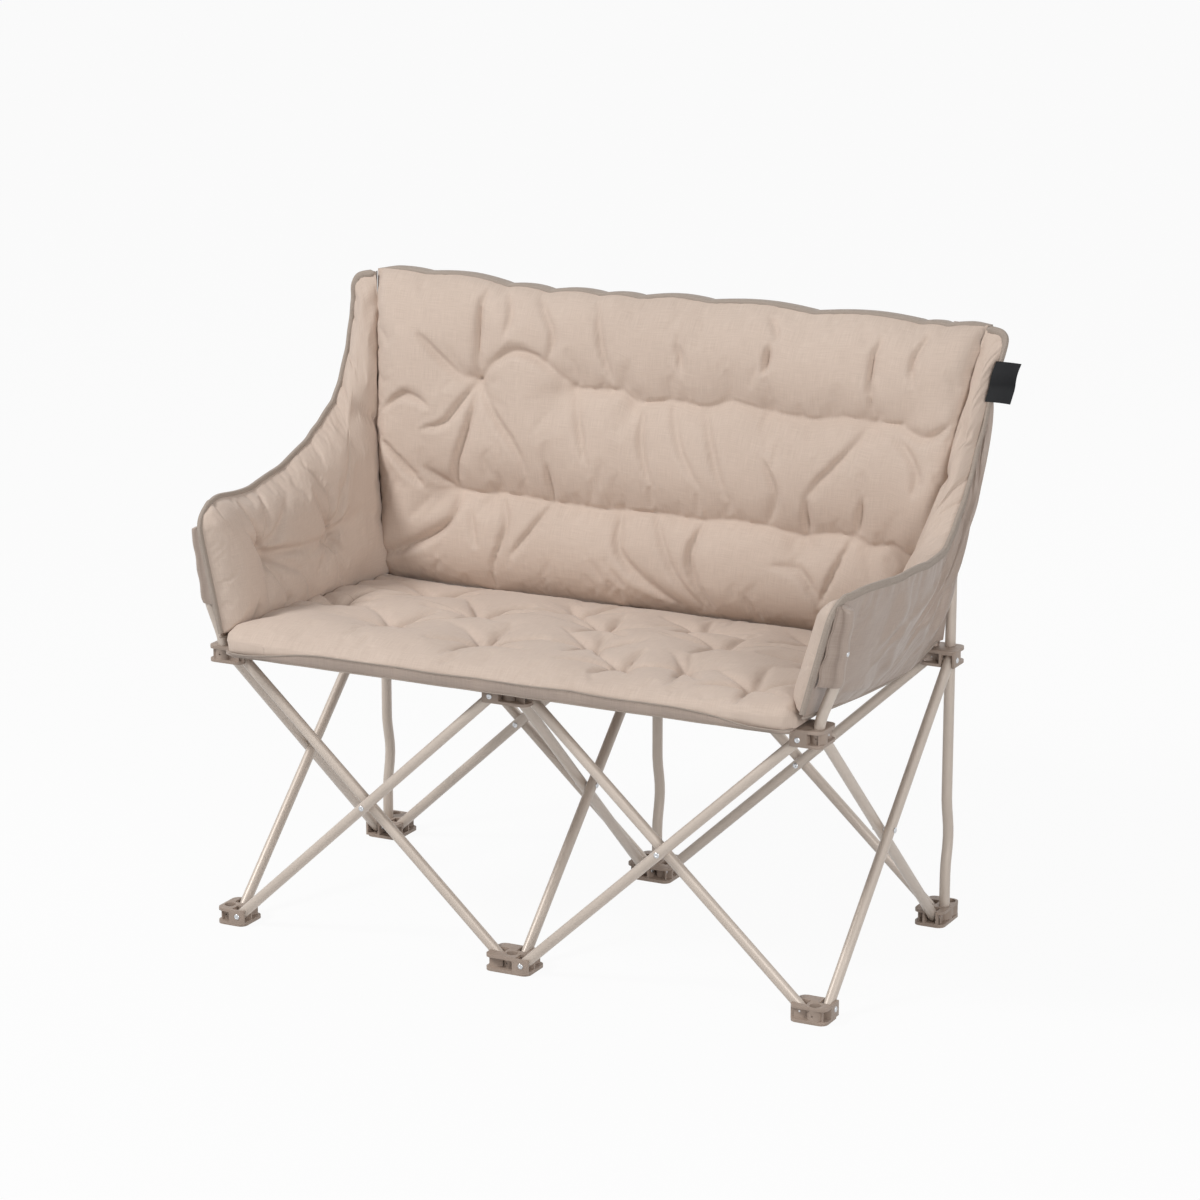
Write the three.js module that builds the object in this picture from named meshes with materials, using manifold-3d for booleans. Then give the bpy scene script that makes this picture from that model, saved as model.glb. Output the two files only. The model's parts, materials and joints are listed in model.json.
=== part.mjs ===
// Folding camping loveseat: a scissor frame of round tubes under a quilted two-seat sling.
// Millimetres, X to the right as seen from the front, Y to the rear, Z up.
import * as THREE from 'three';
import { mergeVertices } from 'three/addons/utils/BufferGeometryUtils.js';
import Module from 'manifold-3d';

const wasm = await Module();
wasm.setup();

// Columns: a foot below and a hub above, three across and two deep
const columnSpacingWide = 480;
const columnSpacingDeep = 480;
const hubRise = 400;

// Round tube, rivet pins and their running clearances
const tubeDiameter = 16;
const tubeWall = 1.2;
const tubeGap = 1;
const tubeEndCap = 0.9;
const pinDiameter = 5;
const pinClearance = 0.35;
const rivetHeadDiameter = 9;
const rivetHeadHeight = 1.8;
const rivetCrownShare = 0.6;
const seatingGap = 0.3;
const overrun = 40;

// Foot and hub moulding, one pattern used both ways up
const pivotOffset = 24;
const pivotRise = 15;
const knuckleHeight = 25;
const closedPlate = 5;
const openPlate = 4.5;
const slotFloor = 1;
const cheekWall = 4;
const slotClearance = 0.5;
const slotReach = 12;
const slotRoot = 10.5;
const drumWall = 3.6;
const plateCorner = 11;
const spareSocketOffset = 23;

// Back posts: a shallow bow low down, then upright through the hub, then a recline
const backPostTop = 895;
const bowDepth = 9;
const bowHeight = 135;
const bowHalfLength = 62;
const reclineHeight = 650;
const reclineDepth = 45;

// Arm posts: lean outwards from the front corner hubs
const armPostTop = 598;
const armPostStub = 8;
const armPostKneeRise = 60;
const armPostKneeOut = 24;
const armPostOut = 39;

// Cloth: sleeves over the post tops, sling under the pads, shells behind them
const sleeveWall = 1.6;
const backSleeveLength = 240;
const armSleeveLength = 100;
const shellThickness = 2.6;
const clothGap = 0.5;

// Seat pad, in two halves that meet over the fold line
const seatOverhang = 43;
const seatSideInset = 30;
const seatSideDraw = 6;
const seatRearInset = 42;
const seatDrop = 18;
const seatEdge = 13;
const seatCrown = 36;
const seatFoldGap = 0.6;

// Back pad
const backRise = 480;
const backTopDraw = 8;
const backSideInset = 12;
const backTopFlare = 32;
const backEdge = 12;
const backCrown = 44;
const backSeam = 17;

// Arm pads, with a wing that climbs to the top corner of the back
const armSideInset = 13;
const armFlare = 66;
const armFront = 268;
const armFootRise = 22;
const armRise = 174;
const wingRise = 278;
const armEdge = 12;
const armCrown = 40;
const cornerGap = 9;
const sideGap = 2.2;
const wingStartShare = 0.5;
const wingFullShare = 0.8;

// Quilting
const tuftRadius = 42;
const tuftDepthShare = 0.7;
const channelPower = 0.55;
const rollWidth = 75;
const cornerMargin = 30;

// Label tab at the top right corner
const labelWidth = 24;
const labelHeight = 58;
const labelThickness = 1.6;
const labelShare = 0.76;

// Faceting
const tubeSides = 10;
const boreSides = 6;
const pinSides = 6;
const rivetSides = 8;
const cornerSteps = 2;
const endSteps = 3;
const backPostSteps = 14;
const armPostSteps = 7;
const seatAcross = 20;
const seatRows = 6;
const slingAcross = 2;
const backAcross = 20;
const backRows = 12;
const shellAcross = 4;
const shellRows = 8;
const armAcross = 15;
const armRows = 5;

const tubeRadius = tubeDiameter / 2;
const planeOffset = (tubeDiameter + tubeGap) / 2;
const tubeEndRadius = tubeRadius + tubeEndCap;
const slotHalfWidth = tubeRadius + slotClearance;
const hubTop = pivotRise + hubRise + pivotRise;
const frontLine = -columnSpacingDeep / 2;
const rearLine = columnSpacingDeep / 2;
const seatHalfWidth = columnSpacingWide - seatSideInset;
const backHalfWidthLow = columnSpacingWide - backSideInset;
const backHalfWidthTop = columnSpacingWide + backTopFlare;
const armInset = columnSpacingWide - armSideInset;
const armFoot = hubTop + armFootRise;

const finish = {
  tube: { color: 0xb9ab9e, roughness: 0.42, metalness: 0.35 },
  moulding: { color: 0xb5a196, roughness: 0.55, metalness: 0 },
  rivet: { color: 0xd3d6da, roughness: 0.25, metalness: 0.9 },
  pad: { color: 0xc6b3a3, roughness: 0.92, metalness: 0 },
  shell: { color: 0x978980, roughness: 0.7, metalness: 0 },
  label: { color: 0x17181a, roughness: 0.8, metalness: 0 },
};

// A closed three.js geometry as a solid that can be joined and cut
function toSolid(geometry) {
  geometry.deleteAttribute('normal');
  geometry.deleteAttribute('uv');
  const merged = mergeVertices(geometry);
  const vertProperties = new Float32Array(merged.attributes.position.array);
  const triVerts = new Uint32Array(merged.index.array);
  return new wasm.Manifold(new wasm.Mesh({ numProp: 3, vertProperties, triVerts }));
}

// The solid's vertices and triangles back as a three.js geometry
function toGeometry(solid) {
  const mesh = solid.getMesh();
  const geometry = new THREE.BufferGeometry();
  geometry.setAttribute('position', new THREE.BufferAttribute(mesh.vertProperties, 3));
  geometry.setIndex(new THREE.BufferAttribute(mesh.triVerts, 1));
  geometry.computeVertexNormals();
  return geometry;
}

function box(low, high) {
  const size = high.clone().sub(low);
  const geometry = new THREE.BoxGeometry(size.x, size.y, size.z);
  const middle = low.clone().add(high).multiplyScalar(0.5);
  geometry.translate(middle.x, middle.y, middle.z);
  return toSolid(geometry);
}

// A round bar from one point to another
function bar(radius, from, to, sides) {
  const span = to.clone().sub(from);
  const geometry = new THREE.CylinderGeometry(radius, radius, span.length(), sides);
  const turn = new THREE.Quaternion();
  turn.setFromUnitVectors(new THREE.Vector3(0, 1, 0), span.normalize());
  geometry.applyQuaternion(turn);
  const middle = from.clone().add(to).multiplyScalar(0.5);
  geometry.translate(middle.x, middle.y, middle.z);
  return toSolid(geometry);
}

// A ring section: round outside, round bore
function ringSection(outer, inner) {
  const ring = (radius, sides) => {
    const points = [];
    for (let k = 0; k < sides; k += 1) {
      const turn = (Math.PI * 2 * k) / sides;
      points.push(new THREE.Vector2(radius * Math.cos(turn), radius * Math.sin(turn)));
    }
    return points;
  };
  const shape = new THREE.Shape(ring(outer, tubeSides));
  shape.holes.push(new THREE.Path(ring(inner, boreSides).reverse()));
  return shape;
}

function part(name, geometry, look) {
  const material = new THREE.MeshStandardMaterial(finish[look]);
  const mesh = new THREE.Mesh(geometry, material);
  mesh.name = name;
  return mesh;
}

// A plate with rounded corners, lying flat
function roundedPlate(low, high, corner, bottom, top) {
  const shape = new THREE.Shape();
  shape.moveTo(low.x + corner, low.y);
  shape.lineTo(high.x - corner, low.y);
  shape.absarc(high.x - corner, low.y + corner, corner, -Math.PI / 2, 0, false);
  shape.lineTo(high.x, high.y - corner);
  shape.absarc(high.x - corner, high.y - corner, corner, 0, Math.PI / 2, false);
  shape.lineTo(low.x + corner, high.y);
  shape.absarc(low.x + corner, high.y - corner, corner, Math.PI / 2, Math.PI, false);
  shape.lineTo(low.x, low.y + corner);
  shape.absarc(low.x + corner, low.y + corner, corner, Math.PI, Math.PI * 1.5, false);
  const depth = top - bottom;
  const options = { depth, bevelEnabled: false, curveSegments: cornerSteps };
  const geometry = new THREE.ExtrudeGeometry(shape, options);
  geometry.translate(0, 0, bottom);
  return toSolid(geometry);
}

// Foot or hub moulding, closed face at z = 0 and slots open towards +z.
// Each slot holds one tube end: it points along a direction and sits to one side of the axis.
// The main socket is open at the slotted face, at the closed face, or at both.
function knuckle(slots, sockets, openAtSlots, openAtBack) {
  const drumRadius = tubeRadius + seatingGap + drumWall;
  const low = new THREE.Vector2(-drumRadius, -drumRadius);
  const high = new THREE.Vector2(drumRadius, drumRadius);
  const reach = pivotOffset + slotReach;
  const frames = slots.map(({ along, side }) => {
    const lateral = side.clone().multiplyScalar(planeOffset);
    return { along, side, pivot: along.clone().multiplyScalar(pivotOffset).add(lateral) };
  });
  const cheek = slotHalfWidth + cheekWall;
  for (const { along, side, pivot } of frames) {
    for (const across of [-cheek, cheek]) {
      const corner = pivot.clone().addScaledVector(along, slotReach).addScaledVector(side, across);
      low.min(corner);
      high.max(corner);
    }
  }
  for (const socket of sockets) {
    low.min(socket.clone().subScalar(drumRadius));
    high.max(socket.clone().addScalar(drumRadius));
  }
  let body = roundedPlate(low, high, plateCorner, 0, closedPlate);
  body = body.add(roundedPlate(low, high, plateCorner, knuckleHeight - openPlate, knuckleHeight));
  for (const socket of sockets) {
    const from = new THREE.Vector3(socket.x, socket.y, closedPlate / 2);
    const to = new THREE.Vector3(socket.x, socket.y, knuckleHeight - openPlate / 2);
    body = body.add(bar(drumRadius, from, to, tubeSides));
  }
  const webHalf = pivotOffset - slotRoot - cheekWall;
  for (const socket of sockets) {
    const from = new THREE.Vector3(-webHalf, 0, closedPlate / 2);
    const to = new THREE.Vector3(webHalf, socket.y, knuckleHeight - openPlate / 2);
    if (socket.y > seatingGap) body = body.add(box(from, to));
  }
  const flat = (pivot, along, side, out, across, z) => {
    const point = pivot.clone().addScaledVector(along, out).addScaledVector(side, across);
    return new THREE.Vector3(point.x, point.y, z);
  };
  const ordered = (a, b) => box(a.clone().min(b), a.clone().max(b));
  for (const { along, side, pivot } of frames) {
    const a = flat(pivot, along, side, -slotRoot - cheekWall, -cheek, closedPlate / 2);
    const b = flat(pivot, along, side, slotReach, cheek, knuckleHeight);
    body = body.add(ordered(a, b));
  }
  for (const { along, side, pivot } of frames) {
    const a = flat(pivot, along, side, -slotRoot, -slotHalfWidth, closedPlate + slotFloor);
    const b = flat(pivot, along, side, slotReach + overrun, slotHalfWidth, knuckleHeight + overrun);
    body = body.subtract(ordered(a, b));
  }
  const socketRadius = (tubeRadius + seatingGap) / Math.cos(Math.PI / tubeSides);
  for (const socket of sockets) {
    const floor = openAtBack ? -overrun : closedPlate;
    const roof = openAtSlots ? knuckleHeight + overrun : knuckleHeight - openPlate;
    const from = new THREE.Vector3(socket.x, socket.y, floor);
    const to = new THREE.Vector3(socket.x, socket.y, roof);
    body = body.subtract(bar(socketRadius, from, to, tubeSides));
  }
  for (const { along, side, pivot } of frames) {
    const a = flat(pivot, along, side, 0, -cheek, pivotRise);
    const b = flat(pivot, along, side, 0, cheek, pivotRise);
    body = body.add(bar(pinDiameter / 2, a, b, pinSides));
  }
  return toGeometry(body);
}

// Straight scissor tube along X, drilled along Z at both ends and in the middle
function scissorTube(length) {
  const blank = new THREE.Vector3(length, 0, 0);
  const outer = bar(tubeRadius, blank.clone().negate(), blank, tubeSides);
  const through = new THREE.Vector3(length + overrun, 0, 0);
  const bore = bar(tubeRadius - tubeWall, through.clone().negate(), through, boreSides);
  const ends = new THREE.Shape();
  ends.absarc(length / 2, 0, tubeEndRadius, -Math.PI / 2, Math.PI / 2, false);
  ends.absarc(-length / 2, 0, tubeEndRadius, Math.PI / 2, Math.PI * 1.5, false);
  const depth = tubeDiameter + overrun;
  const outline = new THREE.ExtrudeGeometry(ends, { depth, bevelEnabled: false, curveSegments: endSteps });
  outline.translate(0, 0, -depth / 2);
  let tube = outer.intersect(toSolid(outline)).subtract(bore);
  const holeRadius = (pinDiameter / 2 + pinClearance) / Math.cos(Math.PI / pinSides);
  for (const place of [-length / 2, 0, length / 2]) {
    const from = new THREE.Vector3(place, 0, -depth / 2);
    const to = new THREE.Vector3(place, 0, depth / 2);
    tube = tube.subtract(bar(holeRadius, from, to, pinSides));
  }
  return toGeometry(tube);
}

// Crossing rivet along Z: a pin with a domed head at each end
function crossingRivet() {
  const seat = planeOffset + tubeRadius + seatingGap;
  const head = rivetHeadDiameter / 2;
  const crest = seat + rivetHeadHeight;
  const shoulder = seat + rivetHeadHeight / 2;
  const profile = [
    new THREE.Vector2(0, -crest),
    new THREE.Vector2(head * rivetCrownShare, -crest),
    new THREE.Vector2(head, -shoulder),
    new THREE.Vector2(head, -seat),
    new THREE.Vector2(pinDiameter / 2, -seat),
    new THREE.Vector2(pinDiameter / 2, seat),
    new THREE.Vector2(head, seat),
    new THREE.Vector2(head, shoulder),
    new THREE.Vector2(head * rivetCrownShare, crest),
    new THREE.Vector2(0, crest),
  ];
  const geometry = new THREE.LatheGeometry(profile, rivetSides);
  geometry.rotateX(Math.PI / 2);
  return toGeometry(toSolid(geometry));
}

// Turns a mesh so that its X follows a direction and its Z follows the pin axis
function aim(mesh, xAxis, zAxis, place) {
  const x = xAxis.clone().normalize();
  const z = zAxis.clone().normalize();
  const y = z.clone().cross(x);
  mesh.quaternion.setFromRotationMatrix(new THREE.Matrix4().makeBasis(x, y, z));
  mesh.position.copy(place);
  return mesh;
}

const columns = [
  { name: 'left', x: -columnSpacingWide },
  { name: 'middle', x: 0 },
  { name: 'right', x: columnSpacingWide },
];
const rows = [
  { name: 'front', y: frontLine, inward: 1 },
  { name: 'rear', y: rearLine, inward: -1 },
];
const loveseat = new THREE.Group();

// Feet and hubs. A hub is the same moulding turned over about X, so its Y directions swap sign.
for (const row of rows) {
  for (const column of columns) {
    const toLeft = column.x > -columnSpacingWide;
    const toRight = column.x < columnSpacingWide;
    for (const isHub of [false, true]) {
      const flip = isHub ? -1 : 1;
      const slots = [];
      // Tubes that rise to the right run in the front plane, those that rise to the left behind it
      if (toRight) {
        const side = new THREE.Vector2(0, (isHub ? 1 : -1) * flip);
        slots.push({ along: new THREE.Vector2(1, 0), side });
      }
      if (toLeft) {
        const side = new THREE.Vector2(0, (isHub ? -1 : 1) * flip);
        slots.push({ along: new THREE.Vector2(-1, 0), side });
      }
      // Tubes that rise to the rear run on the right of the column, those that rise forwards on its left
      const risesBack = (row.inward > 0) !== isHub;
      const side = new THREE.Vector2(risesBack ? 1 : -1, 0);
      slots.push({ along: new THREE.Vector2(0, row.inward * flip), side });
      const sockets = [new THREE.Vector2(0, 0)];
      const isRear = row.name === 'rear';
      if (isRear && !isHub) sockets.push(new THREE.Vector2(0, spareSocketOffset));
      const geometry = knuckle(slots, sockets, !isHub || isRear, isHub);
      const kind = isHub ? 'hub' : 'foot';
      const mesh = part(`${kind}_${row.name}_${column.name}`, geometry, 'moulding');
      mesh.position.set(column.x, row.y, isHub ? hubTop : 0);
      if (isHub) mesh.rotation.x = Math.PI;
      loveseat.add(mesh);
    }
  }
}

// Crossed tube pairs between neighbouring columns, riveted where they cross
function scissorPair(name, start, end, lateral, firstName, secondName) {
  const along = end.clone().sub(start).normalize();
  const reach = start.distanceTo(end) - 2 * pivotOffset;
  const length = Math.hypot(reach, hubRise);
  const geometry = scissorTube(length);
  const middle = start.clone().add(end).multiplyScalar(0.5);
  middle.z = pivotRise + hubRise / 2;
  const rising = along.clone().multiplyScalar(reach).setZ(hubRise);
  const falling = along.clone().multiplyScalar(-reach).setZ(hubRise);
  const first = part(`${name}_tube_${firstName}`, geometry, 'tube');
  loveseat.add(aim(first, rising, lateral, middle.clone().addScaledVector(lateral, planeOffset)));
  const second = part(`${name}_tube_${secondName}`, geometry.clone(), 'tube');
  loveseat.add(aim(second, falling, lateral, middle.clone().addScaledVector(lateral, -planeOffset)));
  const rivet = part(`${name}_rivet`, crossingRivet(), 'rivet');
  loveseat.add(aim(rivet, along, lateral, middle));
}
const forwards = new THREE.Vector3(0, -1, 0);
const rightwards = new THREE.Vector3(1, 0, 0);
for (const row of rows) {
  for (const [index, bay] of ['left', 'right'].entries()) {
    const start = new THREE.Vector3(columns[index].x, row.y, 0);
    const end = new THREE.Vector3(columns[index + 1].x, row.y, 0);
    scissorPair(`${row.name}_${bay}`, start, end, forwards, 'rising_right', 'rising_left');
  }
}
for (const column of columns) {
  const start = new THREE.Vector3(column.x, frontLine, 0);
  const end = new THREE.Vector3(column.x, rearLine, 0);
  scissorPair(`side_${column.name}`, start, end, rightwards, 'rising_back', 'rising_front');
}

// Centre line of a post: it climbs from one height to another and leans by a rule of its height
class PostLine extends THREE.Curve {
  constructor(bottom, top, direction, leanAt) {
    super();
    this.bottom = bottom;
    this.top = top;
    this.direction = direction;
    this.leanAt = leanAt;
  }

  getPoint(share, target = new THREE.Vector3()) {
    const z = THREE.MathUtils.lerp(this.bottom, this.top, share);
    return target.copy(this.direction).multiplyScalar(this.leanAt(z)).setZ(z);
  }
}

// Bent hollow post swept along its own centre line
function sweptTube(path, steps) {
  const shape = ringSection(tubeRadius, tubeRadius - tubeWall);
  return new THREE.ExtrudeGeometry(shape, { steps, extrudePath: path, bevelEnabled: false });
}

// How far the back post leans behind its column at a height
function postLean(z) {
  const share = Math.max(0, (z - reclineHeight) / (backPostTop - reclineHeight));
  return reclineDepth * share;
}

// The shallow bow that lets the post pass behind the crossed tubes
function postBow(z) {
  const share = THREE.MathUtils.clamp((z - bowHeight) / bowHalfLength, -1, 1);
  return bowDepth * (1 + Math.cos(Math.PI * share)) / 2;
}

const postFoot = closedPlate + seatingGap;
for (const column of columns) {
  const rearwards = new THREE.Vector3(0, 1, 0);
  const line = new PostLine(postFoot, backPostTop, rearwards, (z) => postBow(z) + postLean(z));
  const mesh = part(`back_post_${column.name}`, sweptTube(line, backPostSteps), 'tube');
  mesh.position.set(column.x, rearLine, 0);
  loveseat.add(mesh);
}

// Arm posts stand in the front corner hubs and lean outwards
const armPostFoot = hubTop - knuckleHeight + openPlate + seatingGap;
const armBend = hubTop + armPostStub;
const armKnee = armBend + armPostKneeRise;
function armPostShift(z) {
  if (z <= armBend) return 0;
  if (z <= armKnee) return armPostKneeOut * (z - armBend) / armPostKneeRise;
  return armPostKneeOut + (armPostOut - armPostKneeOut) * (z - armKnee) / (armPostTop - armKnee);
}
const sideColumns = [
  { name: 'left', x: -columnSpacingWide, out: -1 },
  { name: 'right', x: columnSpacingWide, out: 1 },
];
for (const column of sideColumns) {
  const outwards = new THREE.Vector3(column.out, 0, 0);
  const line = new PostLine(armPostFoot, armPostTop, outwards, armPostShift);
  const mesh = part(`arm_post_${column.name}`, sweptTube(line, armPostSteps), 'tube');
  mesh.position.set(column.x, frontLine, 0);
  loveseat.add(mesh);
}

// Cloth sleeve over a post top: a cup with a closed end, open downwards
function sleeve(bottom, top) {
  const inner = (tubeRadius + seatingGap) / Math.cos(Math.PI / tubeSides);
  const outer = inner + sleeveWall;
  const cap = top.clone().sub(bottom).normalize();
  const roof = top.clone().addScaledVector(cap, seatingGap);
  const crest = roof.clone().addScaledVector(cap, sleeveWall);
  const below = bottom.clone().addScaledVector(cap, -overrun);
  return toGeometry(bar(outer, bottom, crest, tubeSides).subtract(bar(inner, below, roof, tubeSides)));
}
// The back sleeves start above the bend, where the post is straight
const bendEnd = reclineHeight + (backPostTop - postFoot) / backPostSteps;
for (const column of columns) {
  const low = Math.max(backPostTop - backSleeveLength, bendEnd);
  const bottom = new THREE.Vector3(0, postLean(low), low);
  const top = new THREE.Vector3(0, reclineDepth, backPostTop);
  const mesh = part(`back_sleeve_${column.name}`, sleeve(bottom, top), 'shell');
  mesh.position.set(column.x, rearLine, 0);
  loveseat.add(mesh);
}
for (const column of sideColumns) {
  const low = Math.max(armPostTop - armSleeveLength, armKnee + (armPostTop - armPostFoot) / armPostSteps);
  const bottom = new THREE.Vector3(column.out * armPostShift(low), 0, low);
  const top = new THREE.Vector3(column.out * armPostOut, 0, armPostTop);
  const mesh = part(`arm_sleeve_${column.name}`, sleeve(bottom, top), 'shell');
  mesh.position.set(column.x, frontLine, 0);
  loveseat.add(mesh);
}

// A closed sheet or pad: an outer face and an inner face over a grid, walled at the rim
function paddedSolid(across, up, outerFace, innerFace) {
  const positions = [];
  for (const face of [outerFace, innerFace]) {
    for (let j = 0; j <= up; j += 1) {
      for (let i = 0; i <= across; i += 1) positions.push(...face(i / across, j / up).toArray());
    }
  }
  const layer = (across + 1) * (up + 1);
  const at = (i, j, side) => side * layer + j * (across + 1) + i;
  const triangles = [];
  const quad = (a, b, c, d) => triangles.push(a, b, c, a, c, d);
  for (let j = 0; j < up; j += 1) {
    for (let i = 0; i < across; i += 1) {
      quad(at(i, j, 0), at(i + 1, j, 0), at(i + 1, j + 1, 0), at(i, j + 1, 0));
      quad(at(i, j, 1), at(i, j + 1, 1), at(i + 1, j + 1, 1), at(i + 1, j, 1));
    }
  }
  for (let i = 0; i < across; i += 1) {
    quad(at(i, 0, 1), at(i + 1, 0, 1), at(i + 1, 0, 0), at(i, 0, 0));
    quad(at(i, up, 0), at(i + 1, up, 0), at(i + 1, up, 1), at(i, up, 1));
  }
  for (let j = 0; j < up; j += 1) {
    quad(at(0, j, 0), at(0, j + 1, 0), at(0, j + 1, 1), at(0, j, 1));
    quad(at(across, j, 1), at(across, j + 1, 1), at(across, j + 1, 0), at(across, j, 0));
  }
  const volume = signedVolume(positions, triangles);
  if (volume < 0) {
    for (let k = 0; k < triangles.length; k += 3) {
      const swap = triangles[k];
      triangles[k] = triangles[k + 1];
      triangles[k + 1] = swap;
    }
  }
  const geometry = new THREE.BufferGeometry();
  geometry.setAttribute('position', new THREE.Float32BufferAttribute(positions, 3));
  geometry.setIndex(triangles);
  geometry.computeVertexNormals();
  return geometry;
}

function signedVolume(positions, triangles) {
  const corner = (k) => new THREE.Vector3().fromArray(positions, triangles[k] * 3);
  let volume = 0;
  for (let k = 0; k < triangles.length; k += 3) {
    volume += corner(k).dot(corner(k + 1).cross(corner(k + 2)));
  }
  return volume;
}

// Pillow height between sewn lines, 0 on each line and 1 midway
function pillow(share) {
  const wave = Math.abs(Math.sin(Math.PI * share));
  return Math.pow(wave, channelPower);
}

// Height of a padded rim at a distance in from its edge, 0 at the edge and 1 past the roll
function rimRoll(distance) {
  const share = THREE.MathUtils.clamp(distance / rollWidth, 0, 1);
  return Math.pow(Math.sin(Math.PI / 2 * share), channelPower);
}

// How much the sewn tufts pull a face in at a place, 0 to 1
function tuftPull(x, y, tufts) {
  let pull = 0;
  for (const tuft of tufts) {
    const reach = Math.hypot(x - tuft.x, y - tuft.y) / tuftRadius;
    pull = Math.max(pull, Math.exp(-reach * reach));
  }
  return pull;
}

const lerp = THREE.MathUtils.lerp;
const slingBottomFront = hubTop + seatingGap;
const seatFrontEdge = frontLine - seatOverhang;
const seatRearEdge = rearLine - seatRearInset;
const foldLine = 0;
const rowDepth = (foldLine - seatFrontEdge) / seatRows;
const hubInnerEdge = frontLine + pivotOffset + slotReach;
const levelRows = Math.ceil((hubInnerEdge - seatFrontEdge) / rowDepth);
const levelEdge = seatFrontEdge + levelRows * rowDepth;

// Height of the sling's underside: level over the front hubs, then falling to the rear
function slingHeight(y) {
  const share = THREE.MathUtils.clamp((y - levelEdge) / (seatRearEdge - levelEdge), 0, 1);
  return slingBottomFront - seatDrop * share;
}

// Half width of the seat at a depth, drawn in between its corners
function seatHalfAt(y) {
  const share = (y - seatFrontEdge) / (seatRearEdge - seatFrontEdge);
  return seatHalfWidth - seatSideDraw * Math.sin(Math.PI * share);
}

const seatTuftShares = [
  [-0.58, 0.36], [-0.19, 0.2], [0.2, 0.36], [0.56, 0.22],
  [-0.76, 0.66], [-0.38, 0.62], [0.02, 0.66], [0.4, 0.62], [0.76, 0.66],
];
const seatTufts = seatTuftShares.map(([side, depth]) => {
  return { x: side * seatHalfWidth, y: lerp(seatFrontEdge, seatRearEdge, depth) };
});

// One half of the seat pad, from one depth to another
function seatPadHalf(near, far) {
  const place = (u, v) => {
    const y = lerp(near, far, v);
    const half = seatHalfAt(y);
    return { x: lerp(-half, half, u), y };
  };
  const lower = (u, v) => {
    const { x, y } = place(u, v);
    return new THREE.Vector3(x, y, slingHeight(y) + shellThickness + 2 * clothGap);
  };
  const upper = (u, v) => {
    const { x, y } = place(u, v);
    const fromEnds = rimRoll(y - seatFrontEdge) * rimRoll(seatRearEdge - y);
    const swell = rimRoll(seatHalfAt(y) - Math.abs(x)) * fromEnds;
    const pull = 1 - tuftDepthShare * tuftPull(x, y, seatTufts);
    return lower(u, v).add(new THREE.Vector3(0, 0, seatEdge + (seatCrown - seatEdge) * swell * pull));
  };
  return paddedSolid(seatAcross, seatRows, upper, lower);
}
const halves = [
  { name: 'front', near: seatFrontEdge, far: foldLine - seatFoldGap / 2 },
  { name: 'rear', near: foldLine + seatFoldGap / 2, far: seatRearEdge },
];
for (const half of halves) {
  const pad = seatPadHalf(half.near, half.far);
  loveseat.add(part(`seat_pad_${half.name}`, pad, 'pad'));
  const under = (lift) => (u, v) => {
    const y = lerp(half.near, half.far, v);
    const side = seatHalfAt(y);
    return new THREE.Vector3(lerp(-side, side, u), y, slingHeight(y) + lift);
  };
  const sling = paddedSolid(slingAcross, seatRows, under(shellThickness), under(0));
  loveseat.add(part(`seat_sling_${half.name}`, sling, 'shell'));
}

// Back pad: three pillowed channels between two sewn lines, leaning with the posts
const backBottom = hubTop + clothGap * 2;
const channelShares = [0, 0.32, 0.67, 1];
const backTuftShares = [
  [-0.64, 0.67], [-0.3, 0.67], [0.06, 0.67], [0.4, 0.67], [0.78, 0.67],
  [-0.7, 0.32], [-0.5, 0.32], [-0.1, 0.32], [0.12, 0.32], [0.5, 0.32], [0.68, 0.32],
];
const backTufts = backTuftShares.map(([side, rise]) => {
  return { x: side * backHalfWidthLow, y: backBottom + rise * backRise };
});
const shellRear = rearLine - tubeRadius - seatingGap - sleeveWall - clothGap * 2;
function backHalfWidth(rise) {
  return lerp(backHalfWidthLow, backHalfWidthTop, rise);
}
function backFace(depth) {
  return (u, v) => {
    const half = backHalfWidth(v);
    const middle = 1 - Math.pow(2 * u - 1, 2);
    const z = backBottom + v * (backRise - backTopDraw * middle);
    return new THREE.Vector3(lerp(-half, half, u), shellRear + postLean(z) - depth, z);
  };
}
const padRear = shellThickness + clothGap;
function backPadFront(u, v) {
  const band = channelShares.findIndex((share, index) => index > 0 && v <= share);
  const start = channelShares[band - 1];
  const swell = pillow((v - start) / (channelShares[band] - start));
  const atRim = v === 0 || v === 1;
  const seam = atRim ? backEdge : backSeam;
  const place = backFace(0)(u, v);
  const pull = 1 - tuftDepthShare * tuftPull(place.x, place.z, backTufts);
  const roll = rimRoll(backHalfWidth(v) - cornerMargin - Math.abs(place.x));
  const thickness = backEdge + (seam - backEdge + (backCrown - seam) * swell) * roll * pull;
  return backFace(padRear + thickness)(u, v);
}
const backPad = paddedSolid(backAcross, backRows, backPadFront, backFace(padRear));
loveseat.add(part('back_pad', backPad, 'pad'));
const backShell = paddedSolid(shellAcross, shellRows, backFace(0), backFace(shellThickness));
loveseat.add(part('back_shell', backShell, 'shell'));

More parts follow.
